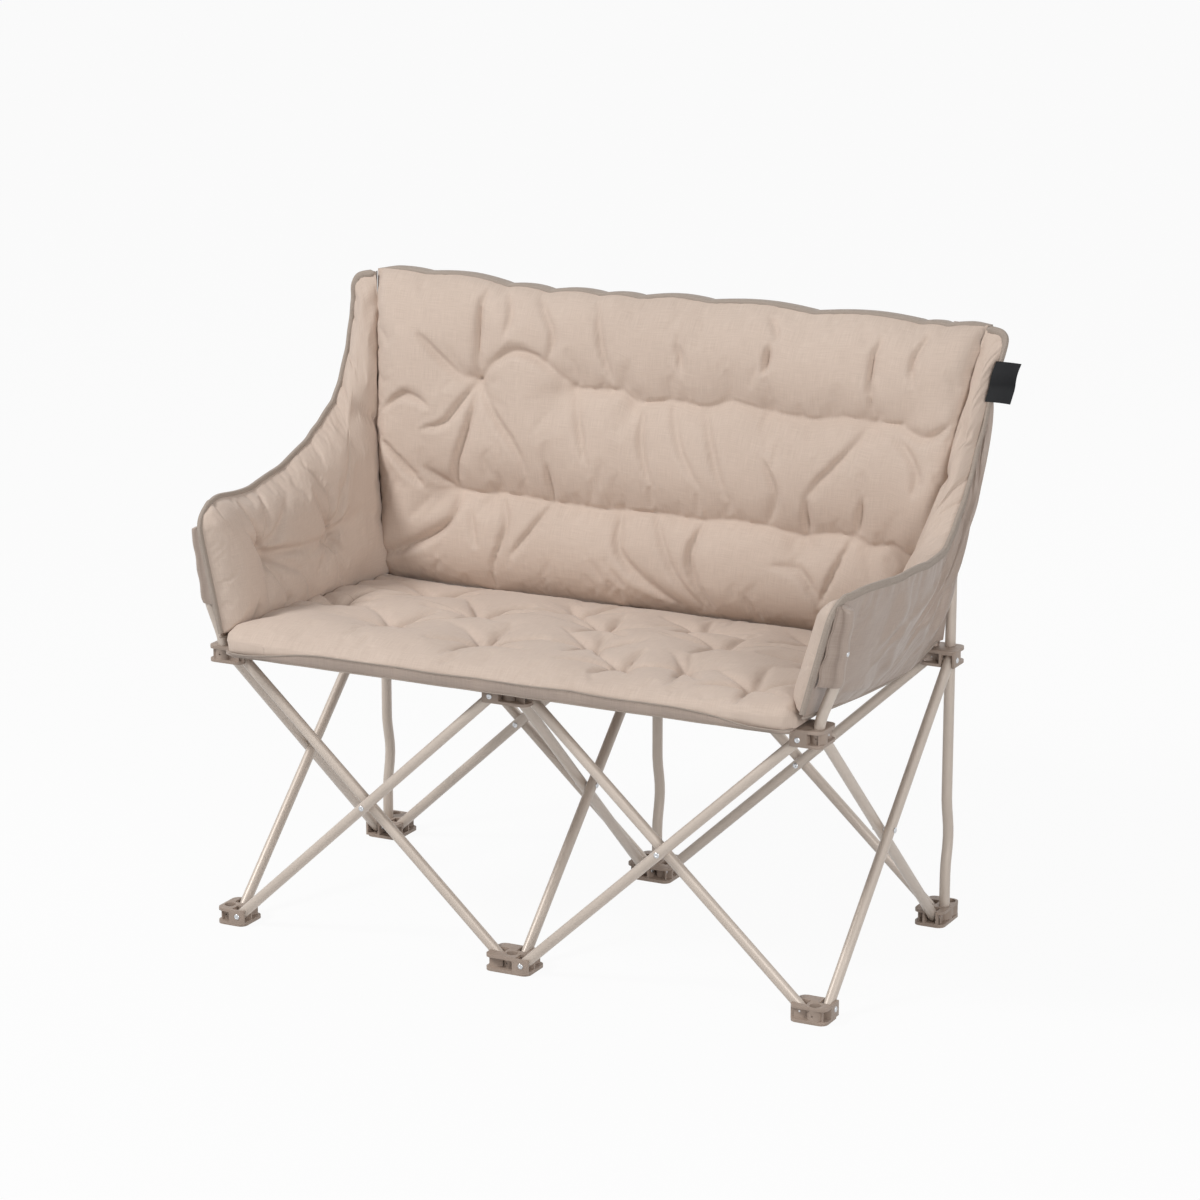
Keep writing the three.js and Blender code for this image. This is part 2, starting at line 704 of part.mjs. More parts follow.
// Arm panels: a patch from the seat edge up to the arm top, whose rear part climbs to the back's corner.
// Rows give, as shares: how far back, how far out, and how far up the arm and then the wing.
const armTopShares = [
  [0, 0.613, 0.98, 0], [0.12, 0.74, 1, 0], [0.32, 0.9, 1, 0], [0.52, 0.96, 1, 0.03],
  [0.7, 0.98, 1, 0.09], [0.82, 1, 1, 0.2], [0.92, 1, 1, 0.34], [0.98, 1, 1, 0.56],
  [1, 1, 1, 0.8], [1, 0.86, 1, 0.96], [1, 0.5, 1, 1],
];
const armRearFoot = shellRear - padRear - backEdge - cornerGap;
function armTop(u) {
  const place = u * (armTopShares.length - 1);
  const index = Math.min(Math.floor(place), armTopShares.length - 2);
  const share = place - index;
  const row = armTopShares[index].map((value, k) => lerp(value, armTopShares[index + 1][k], share));
  const z = armFoot + armRise * row[2] + wingRise * row[3];
  const y = lerp(-armFront, armRearFoot + postLean(z), row[0]);
  return new THREE.Vector3(armInset + armFlare * row[1], y, z);
}
function armBottom(u) {
  return new THREE.Vector3(armInset, lerp(-armFront, armRearFoot, u), armFoot);
}
function armPatch(u, v) {
  const foot = armBottom(u);
  const point = foot.clone().lerp(armTop(u), v);
  point.y = Math.min(point.y, armRearFoot + postLean(point.z));
  return point;
}
// The panel faces the seat along its arm, and turns to face forwards where it becomes the wing
function armInward(u) {
  const turn = THREE.MathUtils.smoothstep(u, wingStartShare, wingFullShare);
  return new THREE.Vector3(-1, -turn, 0).normalize();
}
function armOffset(depth) {
  return (u, v) => {
    const point = armPatch(u, v).addScaledVector(armInward(u), depth);
    point.y = Math.min(point.y, armRearFoot + cornerGap / 2 + postLean(point.z));
    return point;
  };
}
const armTuftShares = [[0.34, 0.52], [0.62, 0.42]];
const armLength = armFront + armRearFoot;
function armPadInner(u, v) {
  const point = armPatch(u, v);
  const swell = rimRoll(point.y + armFront) * rimRoll((1 - v) * armRise) * rimRoll(v * armRise);
  const taper = 1 - THREE.MathUtils.smoothstep(u, wingStartShare, wingFullShare);
  let pull = 1;
  for (const [along, rise] of armTuftShares) {
    const reach = Math.hypot((u - along) * armLength, (v - rise) * armRise) / tuftRadius;
    pull = Math.min(pull, 1 - tuftDepthShare * Math.exp(-reach * reach));
  }
  return armOffset(sideGap + armEdge + (armCrown - armEdge) * swell * taper * pull)(u, v);
}
for (const column of sideColumns) {
  const mirrored = (face) => (u, v) => {
    const point = face(u, v);
    point.x *= column.out;
    return point;
  };
  const pad = paddedSolid(armAcross, armRows, mirrored(armOffset(sideGap)), mirrored(armPadInner));
  loveseat.add(part(`arm_pad_${column.name}`, pad, 'pad'));
  const outer = mirrored(armOffset(-shellThickness));
  const inner = mirrored(armOffset(0));
  loveseat.add(part(`side_shell_${column.name}`, paddedSolid(armAcross, armRows, outer, inner), 'shell'));
}

// Bare label tab sewn into the right wing, near the top corner, and leaning with it
const label = part('label_tab', new THREE.BoxGeometry(labelWidth, labelThickness, labelHeight), 'label');
label.position.copy(armOffset(-shellThickness)(labelShare, 1));
label.position.x += seatingGap + labelWidth / 2;
label.rotation.x = -Math.atan2(reclineDepth, backPostTop - reclineHeight);
loveseat.add(label);

// Stand the whole on its feet with the middle of its box at the origin
loveseat.updateMatrixWorld(true);
const bounds = new THREE.Box3().setFromObject(loveseat);
const middle = bounds.getCenter(new THREE.Vector3());
loveseat.position.set(-middle.x, -middle.y, -bounds.min.z);

export default loveseat;
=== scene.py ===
# Folding camping loveseat: crossed round tubes between moulded feet and hubs, under a quilted sling seat.
import json
import math

import bmesh
import bpy
import numpy as np
from mathutils import Matrix, Vector


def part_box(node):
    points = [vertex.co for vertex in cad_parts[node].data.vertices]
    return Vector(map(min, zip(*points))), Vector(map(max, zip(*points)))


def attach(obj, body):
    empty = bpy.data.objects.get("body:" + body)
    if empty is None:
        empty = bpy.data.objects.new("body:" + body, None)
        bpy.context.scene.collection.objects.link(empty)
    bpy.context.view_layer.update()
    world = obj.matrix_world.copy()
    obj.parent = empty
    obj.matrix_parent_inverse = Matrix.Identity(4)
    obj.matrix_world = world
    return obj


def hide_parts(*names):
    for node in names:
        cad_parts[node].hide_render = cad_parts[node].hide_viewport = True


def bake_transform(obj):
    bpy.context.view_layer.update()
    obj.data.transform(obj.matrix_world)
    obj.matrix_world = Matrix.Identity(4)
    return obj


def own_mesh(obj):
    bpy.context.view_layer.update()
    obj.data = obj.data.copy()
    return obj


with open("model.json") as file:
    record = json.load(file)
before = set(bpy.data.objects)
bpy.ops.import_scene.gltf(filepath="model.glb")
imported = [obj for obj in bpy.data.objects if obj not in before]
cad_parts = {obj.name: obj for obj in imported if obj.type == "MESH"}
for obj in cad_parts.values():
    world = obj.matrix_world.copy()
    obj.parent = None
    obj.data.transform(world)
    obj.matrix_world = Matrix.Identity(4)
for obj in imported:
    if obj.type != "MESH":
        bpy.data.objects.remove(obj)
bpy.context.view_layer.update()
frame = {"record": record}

# Camera, floor and light. The seat stands on a plain pale floor and is seen a little from its right,
# from standing height through a long lens, in the soft light of a product photograph.
camera_place = Vector((2.582, -5.108, 2.009))
camera_forward = Vector((-0.4353, 0.8634, -0.2552))
photo_pixels = 1200
focal_pixels = 4019
sensor_mm = 36.0
view = bpy.data.cameras.new("camera")
view.sensor_width = sensor_mm
view.lens = sensor_mm * focal_pixels / photo_pixels
view.clip_end = 100.0
camera = bpy.data.objects.new("camera", view)
camera.location = camera_place
camera.rotation_mode = "QUATERNION"
camera.rotation_quaternion = camera_forward.to_track_quat("-Z", "Y")
bpy.context.scene.collection.objects.link(camera)
bpy.context.scene.camera = camera
bpy.context.scene.view_settings.view_transform = "Standard"


def linear(red, green, blue):
    """A colour as the eye names it, 0 to 255, as the linear colour that shaders take."""
    shares = [c / 255 for c in (red, green, blue)]
    steps = [c / 12.92 if c <= 0.04045 else ((c + 0.055) / 1.055) ** 2.4 for c in shares]
    return (*steps, 1.0)


def add(tree, kind, **values):
    """Adds a node. A value is a plain number or another node's output to join to that input."""
    node = tree.nodes.new(kind)
    for name, value in values.items():
        socket = node.inputs[name.replace("_", " ")]
        if isinstance(value, bpy.types.NodeSocket):
            tree.links.new(value, socket)
        else:
            socket.default_value = value
    return node


def finish(name, colour, roughness, metallic=0.0):
    """A new material with its tree and its shader."""
    material = bpy.data.materials.new(name)
    material.use_nodes = True
    shader = material.node_tree.nodes["Principled BSDF"]
    shader.inputs["Base Color"].default_value = linear(*colour)
    shader.inputs["Roughness"].default_value = roughness
    shader.inputs["Metallic"].default_value = metallic
    return material, material.node_tree, shader


def keep(name, mesh, smooth_below=None):
    """A piece from a finished mesh, its place in its mesh. Edges sharper than an angle stay sharp."""
    if smooth_below is not None:
        mesh.shade_smooth()
        mesh.set_sharp_from_angle(angle=math.radians(smooth_below))
    piece = bpy.data.objects.new(name, mesh)
    bpy.context.scene.collection.objects.link(piece)
    return piece


def seeing(tree):
    """1 for the rays that show a background: the camera's own, mirrored ones and those let through."""
    rays = tree.nodes.new("ShaderNodeLightPath")
    total = rays.outputs["Is Camera Ray"]
    for kind in ("Is Glossy Ray", "Is Transmission Ray"):
        step = tree.nodes.new("ShaderNodeMath")
        step.operation = "MAXIMUM"
        tree.links.new(total, step.inputs[0])
        tree.links.new(rays.outputs[kind], step.inputs[1])
        total = step.outputs[0]
    return total


floor_half = 30.0
white_share = 0.94
floor_mesh = bpy.data.meshes.new("floor")
corners = [(-floor_half, -floor_half, 0), (floor_half, -floor_half, 0),
           (floor_half, floor_half, 0), (-floor_half, floor_half, 0)]
floor_mesh.from_pydata(corners, [], [(0, 1, 2, 3)])
floor = keep("floor", floor_mesh)
floor_finish, tree, shader = finish("floor paper", (208, 208, 208), 0.9)
seen = add(tree, "ShaderNodeMath", Value=seeing(tree))
seen.operation = "MULTIPLY"
seen.inputs[1].default_value = white_share
glow = add(tree, "ShaderNodeEmission", Color=(1, 1, 1, 1), Strength=1.0)
mixed = add(tree, "ShaderNodeMixShader", Fac=seen.outputs[0])
tree.links.new(shader.outputs[0], mixed.inputs[1])
tree.links.new(glow.outputs[0], mixed.inputs[2])
tree.links.new(mixed.outputs[0], tree.nodes["Material Output"].inputs["Surface"])
floor_mesh.materials.append(floor_finish)

sky = bpy.data.worlds.new("studio")
bpy.context.scene.world = sky
sky.use_nodes = True
sky_level = 0.36
level = add(sky.node_tree, "ShaderNodeMapRange", Value=seeing(sky.node_tree), To_Min=sky_level, To_Max=1.0)
backdrop = sky.node_tree.nodes["Background"]
backdrop.inputs["Color"].default_value = (1, 1, 1, 1)
sky.node_tree.links.new(level.outputs[0], backdrop.inputs["Strength"])

lamps = [
    ("key", (-2.4, -2.2, 3.4), 1.0, 110.0),
    ("fill", (3.2, -2.4, 1.8), 1.8, 62.0),
    ("rim", (0.6, 3.2, 2.6), 1.8, 20.0),
]
aim_point = Vector((0, 0, 0.5))
for name, place, width, watts in lamps:
    lamp = bpy.data.lights.new(name, "AREA")
    lamp.shape = "DISK"
    lamp.size = width
    lamp.energy = watts
    holder = bpy.data.objects.new(name, lamp)
    holder.location = place
    holder.rotation_mode = "QUATERNION"
    holder.rotation_quaternion = (aim_point - Vector(place)).to_track_quat("-Z", "Y")
    bpy.context.scene.collection.objects.link(holder)

# Scissor tubes. Each is a straight round steel tube, powder coated in a warm grey, with a rounded end over
# each rivet. Two of them cross in each bay, from a foot to the next column's hub, and are riveted there.
# The columns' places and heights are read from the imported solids.
tube_radius = 0.008
tube_sides = 40
end_reach = 0.0086
dome_steps = 7
dome_tip = 0.02
pivot_out = 0.024
pivot_rise = 0.015
plane_offset = 0.0085
moulding_reach = 0.036
hub_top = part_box("hub_rear_middle")[1].z
hub_pivot = hub_top - pivot_rise
middle_x = (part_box("foot_rear_middle")[0].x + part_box("foot_rear_middle")[1].x) / 2
rear_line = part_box("foot_rear_middle")[0].y + moulding_reach
front_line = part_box("foot_front_middle")[1].y - moulding_reach
column_x = {
    "left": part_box("foot_front_left")[1].x - moulding_reach,
    "middle": middle_x,
    "right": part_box("foot_front_right")[0].x + moulding_reach,
}
line_y = {"front": front_line, "rear": rear_line}
body_of = {node: body for body, nodes in frame["record"]["behaviour"]["bodies"].items() for node in nodes}


def noise(tree, scale, detail, **more):
    """An uneven pattern through a piece, 0 to 1, by its place in the frame."""
    place = add(tree, "ShaderNodeTexCoord").outputs["Object"]
    return add(tree, "ShaderNodeTexNoise", Vector=place, Scale=scale, Detail=detail, **more).outputs["Fac"]


def tint(tree, shader, share, dark, light, low=0.0, high=1.0):
    """Colours a finish between two tones, as a pattern's share runs from low to high."""
    tone = add(tree, "ShaderNodeValToRGB", Fac=share)
    first, last = tone.color_ramp.elements
    first.position = low
    first.color = linear(*dark)
    last.position = high
    last.color = linear(*light)
    tree.links.new(tone.outputs["Color"], shader.inputs["Base Color"])


def dull(tree, shader, share, low, high):
    """Lets a pattern's share vary a finish's roughness."""
    spread = add(tree, "ShaderNodeMapRange", Value=share, To_Min=low, To_Max=high)
    tree.links.new(spread.outputs[0], shader.inputs["Roughness"])


def relief(tree, shader, *layers):
    """Fine relief on a finish, its coarse layer first. A layer is its height, its strength and its depth."""
    under = {}
    for height, strength, depth in layers:
        bump = add(tree, "ShaderNodeBump", Height=height, Strength=strength, Distance=depth, **under)
        under = {"Normal": bump.outputs[0]}
    tree.links.new(bump.outputs[0], shader.inputs["Normal"])


tube_finish, tree, shader = finish("powder coat", (198, 186, 174), 0.42, 0.2)
shader.inputs["Specular IOR Level"].default_value = 0.55
shader.inputs["Coat Weight"].default_value = 0.25
shader.inputs["Coat Roughness"].default_value = 0.3
speck = noise(tree, scale=26.0, detail=5.0)
tint(tree, shader, speck, (193, 180, 168), (206, 193, 181))
dull(tree, shader, speck, low=0.38, high=0.48)
relief(tree, shader, (noise(tree, scale=900.0, detail=2.0), 0.12, 0.0002))


def grow(title, inputs):
    """An empty tree of geometry nodes with named inputs; gives the tree, its start and its end."""
    tree = bpy.data.node_groups.new(title, "GeometryNodeTree")
    tree.interface.new_socket("Geometry", in_out="INPUT", socket_type="NodeSocketGeometry")
    for name, kind in inputs:
        tree.interface.new_socket(name, in_out="INPUT", socket_type="NodeSocket" + kind)
    tree.interface.new_socket("Geometry", in_out="OUTPUT", socket_type="NodeSocketGeometry")
    return tree, tree.nodes.new("NodeGroupInput").outputs, tree.nodes.new("NodeGroupOutput").inputs


def finished(piece):
    """A piece's mesh with its modifiers applied."""
    graph = bpy.context.evaluated_depsgraph_get()
    return bpy.data.meshes.new_from_object(piece.evaluated_get(graph))


def settle(name, source, tree, values):
    """Runs a tree over a mesh once and gives the result as a plain piece."""
    holder = keep(name + "_source", source)
    step = holder.modifiers.new(tree.name, "NODES")
    step.node_group = tree
    for socket in tree.interface.items_tree:
        if socket.in_out == "INPUT" and socket.name in values:
            step[socket.identifier] = values[socket.name]
    mesh = finished(holder)
    bpy.data.objects.remove(holder)
    return keep(name, mesh)


def line_mesh(points, swell=None):
    """A centre line as a mesh of joined points, each with its share of the full thickness."""
    mesh = bpy.data.meshes.new("line")
    mesh.from_pydata([tuple(p) for p in points], [(k, k + 1) for k in range(len(points) - 1)], [])
    attribute = mesh.attributes.new("swell", "FLOAT", "POINT")
    attribute.data.foreach_set("value", swell if swell is not None else [1.0] * len(points))
    return mesh


sweep, start, end = grow("Tube along its centre line",
                         [("Radius", "Float"), ("Sides", "Int"), ("Finish", "Material")])
centre = add(sweep, "GeometryNodeMeshToCurve", Mesh=start["Geometry"])
ring = add(sweep, "GeometryNodeCurvePrimitiveCircle", Resolution=start["Sides"], Radius=start["Radius"])
swell = add(sweep, "GeometryNodeInputNamedAttribute", Name="swell")
wall = add(sweep, "GeometryNodeCurveToMesh", Curve=centre.outputs[0], Profile_Curve=ring.outputs["Curve"],
           Scale=swell.outputs["Attribute"], Fill_Caps=True)
smooth = add(sweep, "GeometryNodeSetShadeSmooth", Geometry=wall.outputs[0])
real = add(sweep, "GeometryNodeRealizeInstances", Geometry=smooth.outputs[0])
painted = add(sweep, "GeometryNodeSetMaterial", Geometry=real.outputs[0], Material=start["Finish"])
sweep.links.new(painted.outputs[0], end["Geometry"])


def tube(name, points, radius, finish_used, sides=tube_sides):
    """A round tube through points, closed by a dome at each end."""
    points = [Vector(p) for p in points]
    first = (points[0] - points[1]).normalized()
    last = (points[-1] - points[-2]).normalized()
    caps = [math.radians(90 * k / dome_steps) for k in range(dome_steps)]
    head = [points[0] + first * radius * math.cos(a) for a in caps]
    tail = [points[-1] + last * radius * math.cos(a) for a in reversed(caps)]
    thin = [max(math.sin(a), dome_tip) for a in caps]
    swell = thin + [1.0] * len(points) + thin[::-1]
    mesh = line_mesh(head + points + tail, swell)
    values = {"Radius": radius, "Sides": sides, "Finish": finish_used}
    return settle(name, mesh, sweep, values)


def pivot_at(column, line, along, side, height):
    """Where a rivet crosses a tube's centre line, in a foot or a hub."""
    base = Vector((column_x[column], line_y[line], height))
    return base + Vector(along) * pivot_out + Vector(side) * plane_offset


right, left = Vector((1, 0, 0)), Vector((-1, 0, 0))
back, front = Vector((0, 1, 0)), Vector((0, -1, 0))
scissors = []
for line in ("front", "rear"):
    for bay, low, high in (("left", "left", "middle"), ("right", "middle", "right")):
        scissors.append((f"{line}_{bay}_tube_rising_right",
                         pivot_at(low, line, right, front, pivot_rise),
                         pivot_at(high, line, left, front, hub_pivot)))
        scissors.append((f"{line}_{bay}_tube_rising_left",
                         pivot_at(high, line, left, back, pivot_rise),
                         pivot_at(low, line, right, back, hub_pivot)))
for column in ("left", "middle", "right"):
    scissors.append((f"side_{column}_tube_rising_back",
                     pivot_at(column, "front", back, right, pivot_rise),
                     pivot_at(column, "rear", front, right, hub_pivot)))
    scissors.append((f"side_{column}_tube_rising_front",
                     pivot_at(column, "rear", front, left, pivot_rise),
                     pivot_at(column, "front", back, left, hub_pivot)))
for node, low, high in scissors:
    stretch = (high - low).normalized() * (end_reach - tube_radius)
    piece = tube("round_" + node, [low - stretch, high + stretch], tube_radius, tube_finish)
    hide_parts(node)
    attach(piece, body_of[node])

# Back posts. Three bent tubes stand in the rear feet, bow rearwards past the crossed tubes, run up
# through the hubs and lean back above the arms; the cloth's sleeves slip over their tops.
post_top = 0.895
bow_depth = 0.009
bow_height = 0.135
bow_half = 0.062
lean_start = 0.65
lean_depth = 0.045
lean_ease = 0.03
post_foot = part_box("back_post_middle")[0].z
post_steps = 60


def post_lean(z):
    """How far the posts lean back at a height: none low down, then a steady slope eased in."""
    slope = lean_depth / (post_top - lean_start)
    past = z - lean_start
    eased = np.clip(past + lean_ease, 0, None) ** 2 / (4 * lean_ease)
    return slope * np.where(past > lean_ease, past, eased)


def post_bow(z):
    """How far the posts bow rearwards at a height, to pass the crossed tubes."""
    share = np.clip((z - bow_height) / bow_half, -1, 1)
    return bow_depth * (1 + np.cos(np.pi * share)) / 2


for column in ("left", "middle", "right"):
    node = f"back_post_{column}"
    heights = np.linspace(post_foot + tube_radius, post_top - tube_radius, post_steps)
    points = [(column_x[column], rear_line + float(post_bow(z) + post_lean(z)), float(z)) for z in heights]
    piece = tube("round_" + node, points, tube_radius, tube_finish)
    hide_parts(node)
    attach(piece, body_of[node])

# Arm posts. A short tube of the same powder-coated steel stands in each front corner hub. It bends outwards
# above the hub and carries the arm's cloth in a pocket.
arm_post_top = 0.598
stub = 0.008
knee_rise = 0.06
knee_out = 0.024
arm_out = 0.039
arm_post_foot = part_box("arm_post_left")[0].z
bend_ease = 5


def arm_shift(z):
    """How far an arm post stands outside its hub at a height."""
    heights = [0, hub_top + stub, hub_top + stub + knee_rise, arm_post_top]
    return np.interp(z, heights, [0, 0, knee_out, arm_out])


for column, out in (("left", -1), ("right", 1)):
    node = f"arm_post_{column}"
    heights = np.linspace(arm_post_foot + tube_radius, arm_post_top - tube_radius, post_steps)
    shifts = arm_shift(heights)
    longer = np.pad(shifts, bend_ease, mode="edge")
    shifts = np.convolve(longer, np.ones(2 * bend_ease + 1) / (2 * bend_ease + 1), mode="valid")
    points = [(column_x[column] + out * float(s), front_line, float(z)) for s, z in zip(shifts, heights)]
    piece = tube("round_" + node, points, tube_radius, tube_finish)
    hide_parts(node)
    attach(piece, body_of[node])

# Feet and hubs. Each is one nylon moulding: two rounded plates joined by a drum for the post and by a
# pair of cheeks for each tube end, with thin ribs between the plates and windows moulded through them.
moulding_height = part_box("foot_rear_middle")[1].z
closed_plate = 0.005
open_plate = 0.0045
drum_radius = 0.0119
socket_radius = 0.0084
slot_half = 0.0085
cheek_wall = 0.0036
slot_reach = 0.012
slot_root = 0.0105
slot_floor = 0.001
plate_corner = 0.011
spare_socket = 0.023
corner_sides = 8
rib_half = 0.0009
rib_inset = 0.55
rib_length = 0.6
dot_radius = 0.0012
dot_depth = 0.003
dot_shift = 0.004
dot_sides = 12
edge_round = 0.0006
edge_angle = 40
cut_past = 0.04
moulding_finish, tree, shader = finish("moulded nylon", (164, 148, 136), 0.5)
tint(tree, shader, noise(tree, scale=40.0, detail=4.0), (151, 134, 122), (168, 151, 138))
place = add(tree, "ShaderNodeTexCoord")
spark = add(tree, "ShaderNodeTexVoronoi", Vector=place.outputs["Object"], Scale=1600.0)
relief(tree, shader, (spark.outputs["Distance"], 0.18, 0.00015))


def solid(mesh_maker):
    """A loose helper solid, used to join or cut and then thrown away."""
    mesh = bpy.data.meshes.new("blank")
    shape = bmesh.new()
    mesh_maker(shape)
    bmesh.ops.recalc_face_normals(shape, faces=shape.faces)
    shape.to_mesh(mesh)
    shape.free()
    return keep("blank", mesh)


def block(low, high):
    """A box between two corners."""
    low, high = Vector(low), Vector(high)
    size = [abs(c) for c in high - low]

    def make(shape):
        place = Matrix.Translation((low + high) / 2) @ Matrix.Diagonal((*size, 1))
        bmesh.ops.create_cube(shape, size=1.0, matrix=place)
    return solid(make)


def rod(radius, start, end, sides=40):
    """A round bar between two points."""
    start, end = Vector(start), Vector(end)

    def make(shape):
        turn = (end - start).to_track_quat("Z", "Y").to_matrix().to_4x4()
        place = Matrix.Translation((start + end) / 2) @ turn
        bmesh.ops.create_cone(shape, cap_ends=True, segments=sides, radius1=radius, radius2=radius,
                              depth=(end - start).length, matrix=place)
    return solid(make)


def prism(ring, bottom, top):
    """An upright solid over a closed outline."""
    def make(shape):
        base = [shape.verts.new((x, y, bottom)) for x, y in ring]
        roof = [shape.verts.new((x, y, top)) for x, y in ring]
        shape.faces.new(base[::-1])
        shape.faces.new(roof)
        for k in range(len(ring)):
            n = (k + 1) % len(ring)
            shape.faces.new((base[k], base[n], roof[n], roof[k]))
    return solid(make)


def plate(low, high, corner, bottom, top):
    """A level plate between two corners, with its own corners rounded."""
    middles = [(high[0] - corner, high[1] - corner), (low[0] + corner, high[1] - corner),
               (low[0] + corner, low[1] + corner), (high[0] - corner, low[1] + corner)]
    ring = []
    for quarter, (x, y) in enumerate(middles):
        for k in range(corner_sides + 1):
            a = math.radians(90 * quarter + 90 * k / corner_sides)
            ring.append((x + corner * math.cos(a), y + corner * math.sin(a)))
    return prism(ring, bottom, top)


def moulding(slots, sockets, open_top, open_back):
    """One foot, closed plate down. A slot is its direction and the side that its tube lies on."""
    cheek = slot_half + cheek_wall
    low = [-drum_radius, -drum_radius]
    high = [drum_radius, drum_radius]
    frames = []
    for along, side in slots:
        pivot = along * pivot_out + side * plane_offset
        frames.append((along, side, pivot))
        for across in (-cheek, cheek):
            corner = pivot + along * slot_reach + side * across
            low = [min(a, b) for a, b in zip(low, corner)]
            high = [max(a, b) for a, b in zip(high, corner)]
    for x, y in sockets:
        low = [min(low[0], x - drum_radius), min(low[1], y - drum_radius)]
        high = [max(high[0], x + drum_radius), max(high[1], y + drum_radius)]
    base = plate(low, high, plate_corner, 0, closed_plate)
    joins = [plate(low, high, plate_corner, moulding_height - open_plate, moulding_height)]
    cuts = []
    mid_low, mid_high = closed_plate / 2, moulding_height - open_plate / 2
    for x, y in sockets:
        joins.append(rod(drum_radius, (x, y, mid_low), (x, y, mid_high)))
        if y > 0:
            web = pivot_out - slot_root - cheek_wall
            joins.append(block((-web, 0, mid_low), (web, y, mid_high)))
    for along, side, pivot in frames:
        a = pivot - along * (slot_root + cheek_wall) - side * cheek
        b = pivot + along * slot_reach + side * cheek
        joins.append(block((a.x, a.y, mid_low), (b.x, b.y, moulding_height)))
        a = pivot - along * slot_root - side * slot_half
        b = pivot + along * (slot_reach + cut_past) + side * slot_half
        cuts.append(block((a.x, a.y, closed_plate + slot_floor), (b.x, b.y, moulding_height + cut_past)))
    # Thin ribs stand between the plates at the corners that hold no slot
    inset = plate_corner * rib_inset
    for x in (low[0] + inset, high[0] - inset):
        for y in (low[1] + inset, high[1] - inset):
            toward = Vector((-x, -y, 0)).normalized()
            tip = Vector((x, y, 0))
            foot = tip + toward * tip.length * rib_length
            turn = Vector((-toward.y, toward.x, 0)) * rib_half
            ring = [tip - turn, foot - turn, foot + turn, tip + turn]
            joins.append(prism([(c.x, c.y) for c in ring], mid_low, mid_high))
    for x, y in sockets:
        floor_z = -cut_past if open_back else closed_plate
        roof_z = moulding_height + cut_past if open_top else moulding_height - open_plate
        cuts.append(rod(socket_radius, (x, y, floor_z), (x, y, roof_z)))
    for face_y in (low[1] - dot_depth, high[1] + dot_depth):
        reach = drum_radius if abs(face_y) < drum_radius + 2 * dot_depth else abs(face_y)
        x = -dot_shift if len(slots) > 2 else 0.0
        tip = math.copysign(drum_radius - dot_depth, face_y)
        past = math.copysign(reach, face_y) + face_y
        cuts.append(rod(dot_radius, (x, tip, moulding_height / 2), (x, past, moulding_height / 2), dot_sides))
    for operation, others in (("UNION", joins), ("DIFFERENCE", cuts)):
        for other in others:
            step = base.modifiers.new(operation, "BOOLEAN")
            step.operation = operation
            step.solver = "MANIFOLD"
            step.object = other
    mesh = finished(base)
    for other in (base, *joins, *cuts):
        bpy.data.objects.remove(other)
    return mesh


def soften(piece, width, angle):
    """Rounds a piece's sharp edges a little, as a mould leaves them."""
    step = piece.modifiers.new("rounded edges", "BEVEL")
    step.width = width
    step.segments = 2
    step.limit_method = "ANGLE"
    step.angle_limit = math.radians(angle)
    step.use_clamp_overlap = True
    mesh = finished(piece)
    piece.modifiers.clear()
    piece.data = mesh
    mesh.shade_smooth()
    mesh.set_sharp_from_angle(angle=math.radians(angle))


flip = Matrix.Diagonal((1, -1, -1, 1))
slots_of = {}
for line in ("front", "rear"):
    inward = 1 if line == "front" else -1
    for column in ("left", "middle", "right"):
        for kind in ("foot", "hub"):
            sign = -1 if kind == "hub" else 1
            slots = []
            if column != "right":
                slots.append((right, front))
            if column != "left":
                slots.append((left, back))
            rises_back = (inward > 0) != (kind == "hub")
            slots.append((Vector((0, inward * sign, 0)), right if rises_back else left))
            sockets = [(0.0, 0.0)]
            if line == "rear" and kind == "foot":
                sockets.append((0.0, spare_socket))
            node = f"{kind}_{line}_{column}"
            mesh = moulding(slots, sockets, kind == "foot" or line == "rear", kind == "hub")
            place = Matrix.Translation((column_x[column], line_y[line], hub_top if kind == "hub" else 0))
            if kind == "hub":
                place = place @ flip
            mesh.transform(place)
            slots_of[node] = [(place @ (along * pivot_out + side * plane_offset + Vector((0, 0, pivot_rise))),
                               place.to_3x3() @ side) for along, side in slots]
            piece = keep("moulded_" + node, mesh)
            mesh.materials.clear()
            mesh.materials.append(moulding_finish)
            soften(piece, edge_round, edge_angle)
            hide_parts(node)
            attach(piece, body_of[node])

# Rivets. Bright zinc-plated rivets with a small dimple hold each tube end in its slot, one domed head on
# each cheek, and longer ones of the same kind hold the tubes together where they cross.
head_radius = 0.0043
head_rise = 0.0019
head_lip = 0.25
dome_angles = (0, 20, 40, 58)
shank_radius = 0.0025
dimple_radius = 0.0014
dimple_depth = 0.0007
head_sides = 24
zinc, tree, shader = finish("bright zinc", (205, 207, 210), 0.28, 0.95)
frost = noise(tree, scale=700.0, detail=3.0)
dull(tree, shader, frost, low=0.18, high=0.42)
relief(tree, shader, (frost, 0.1, 0.0002))

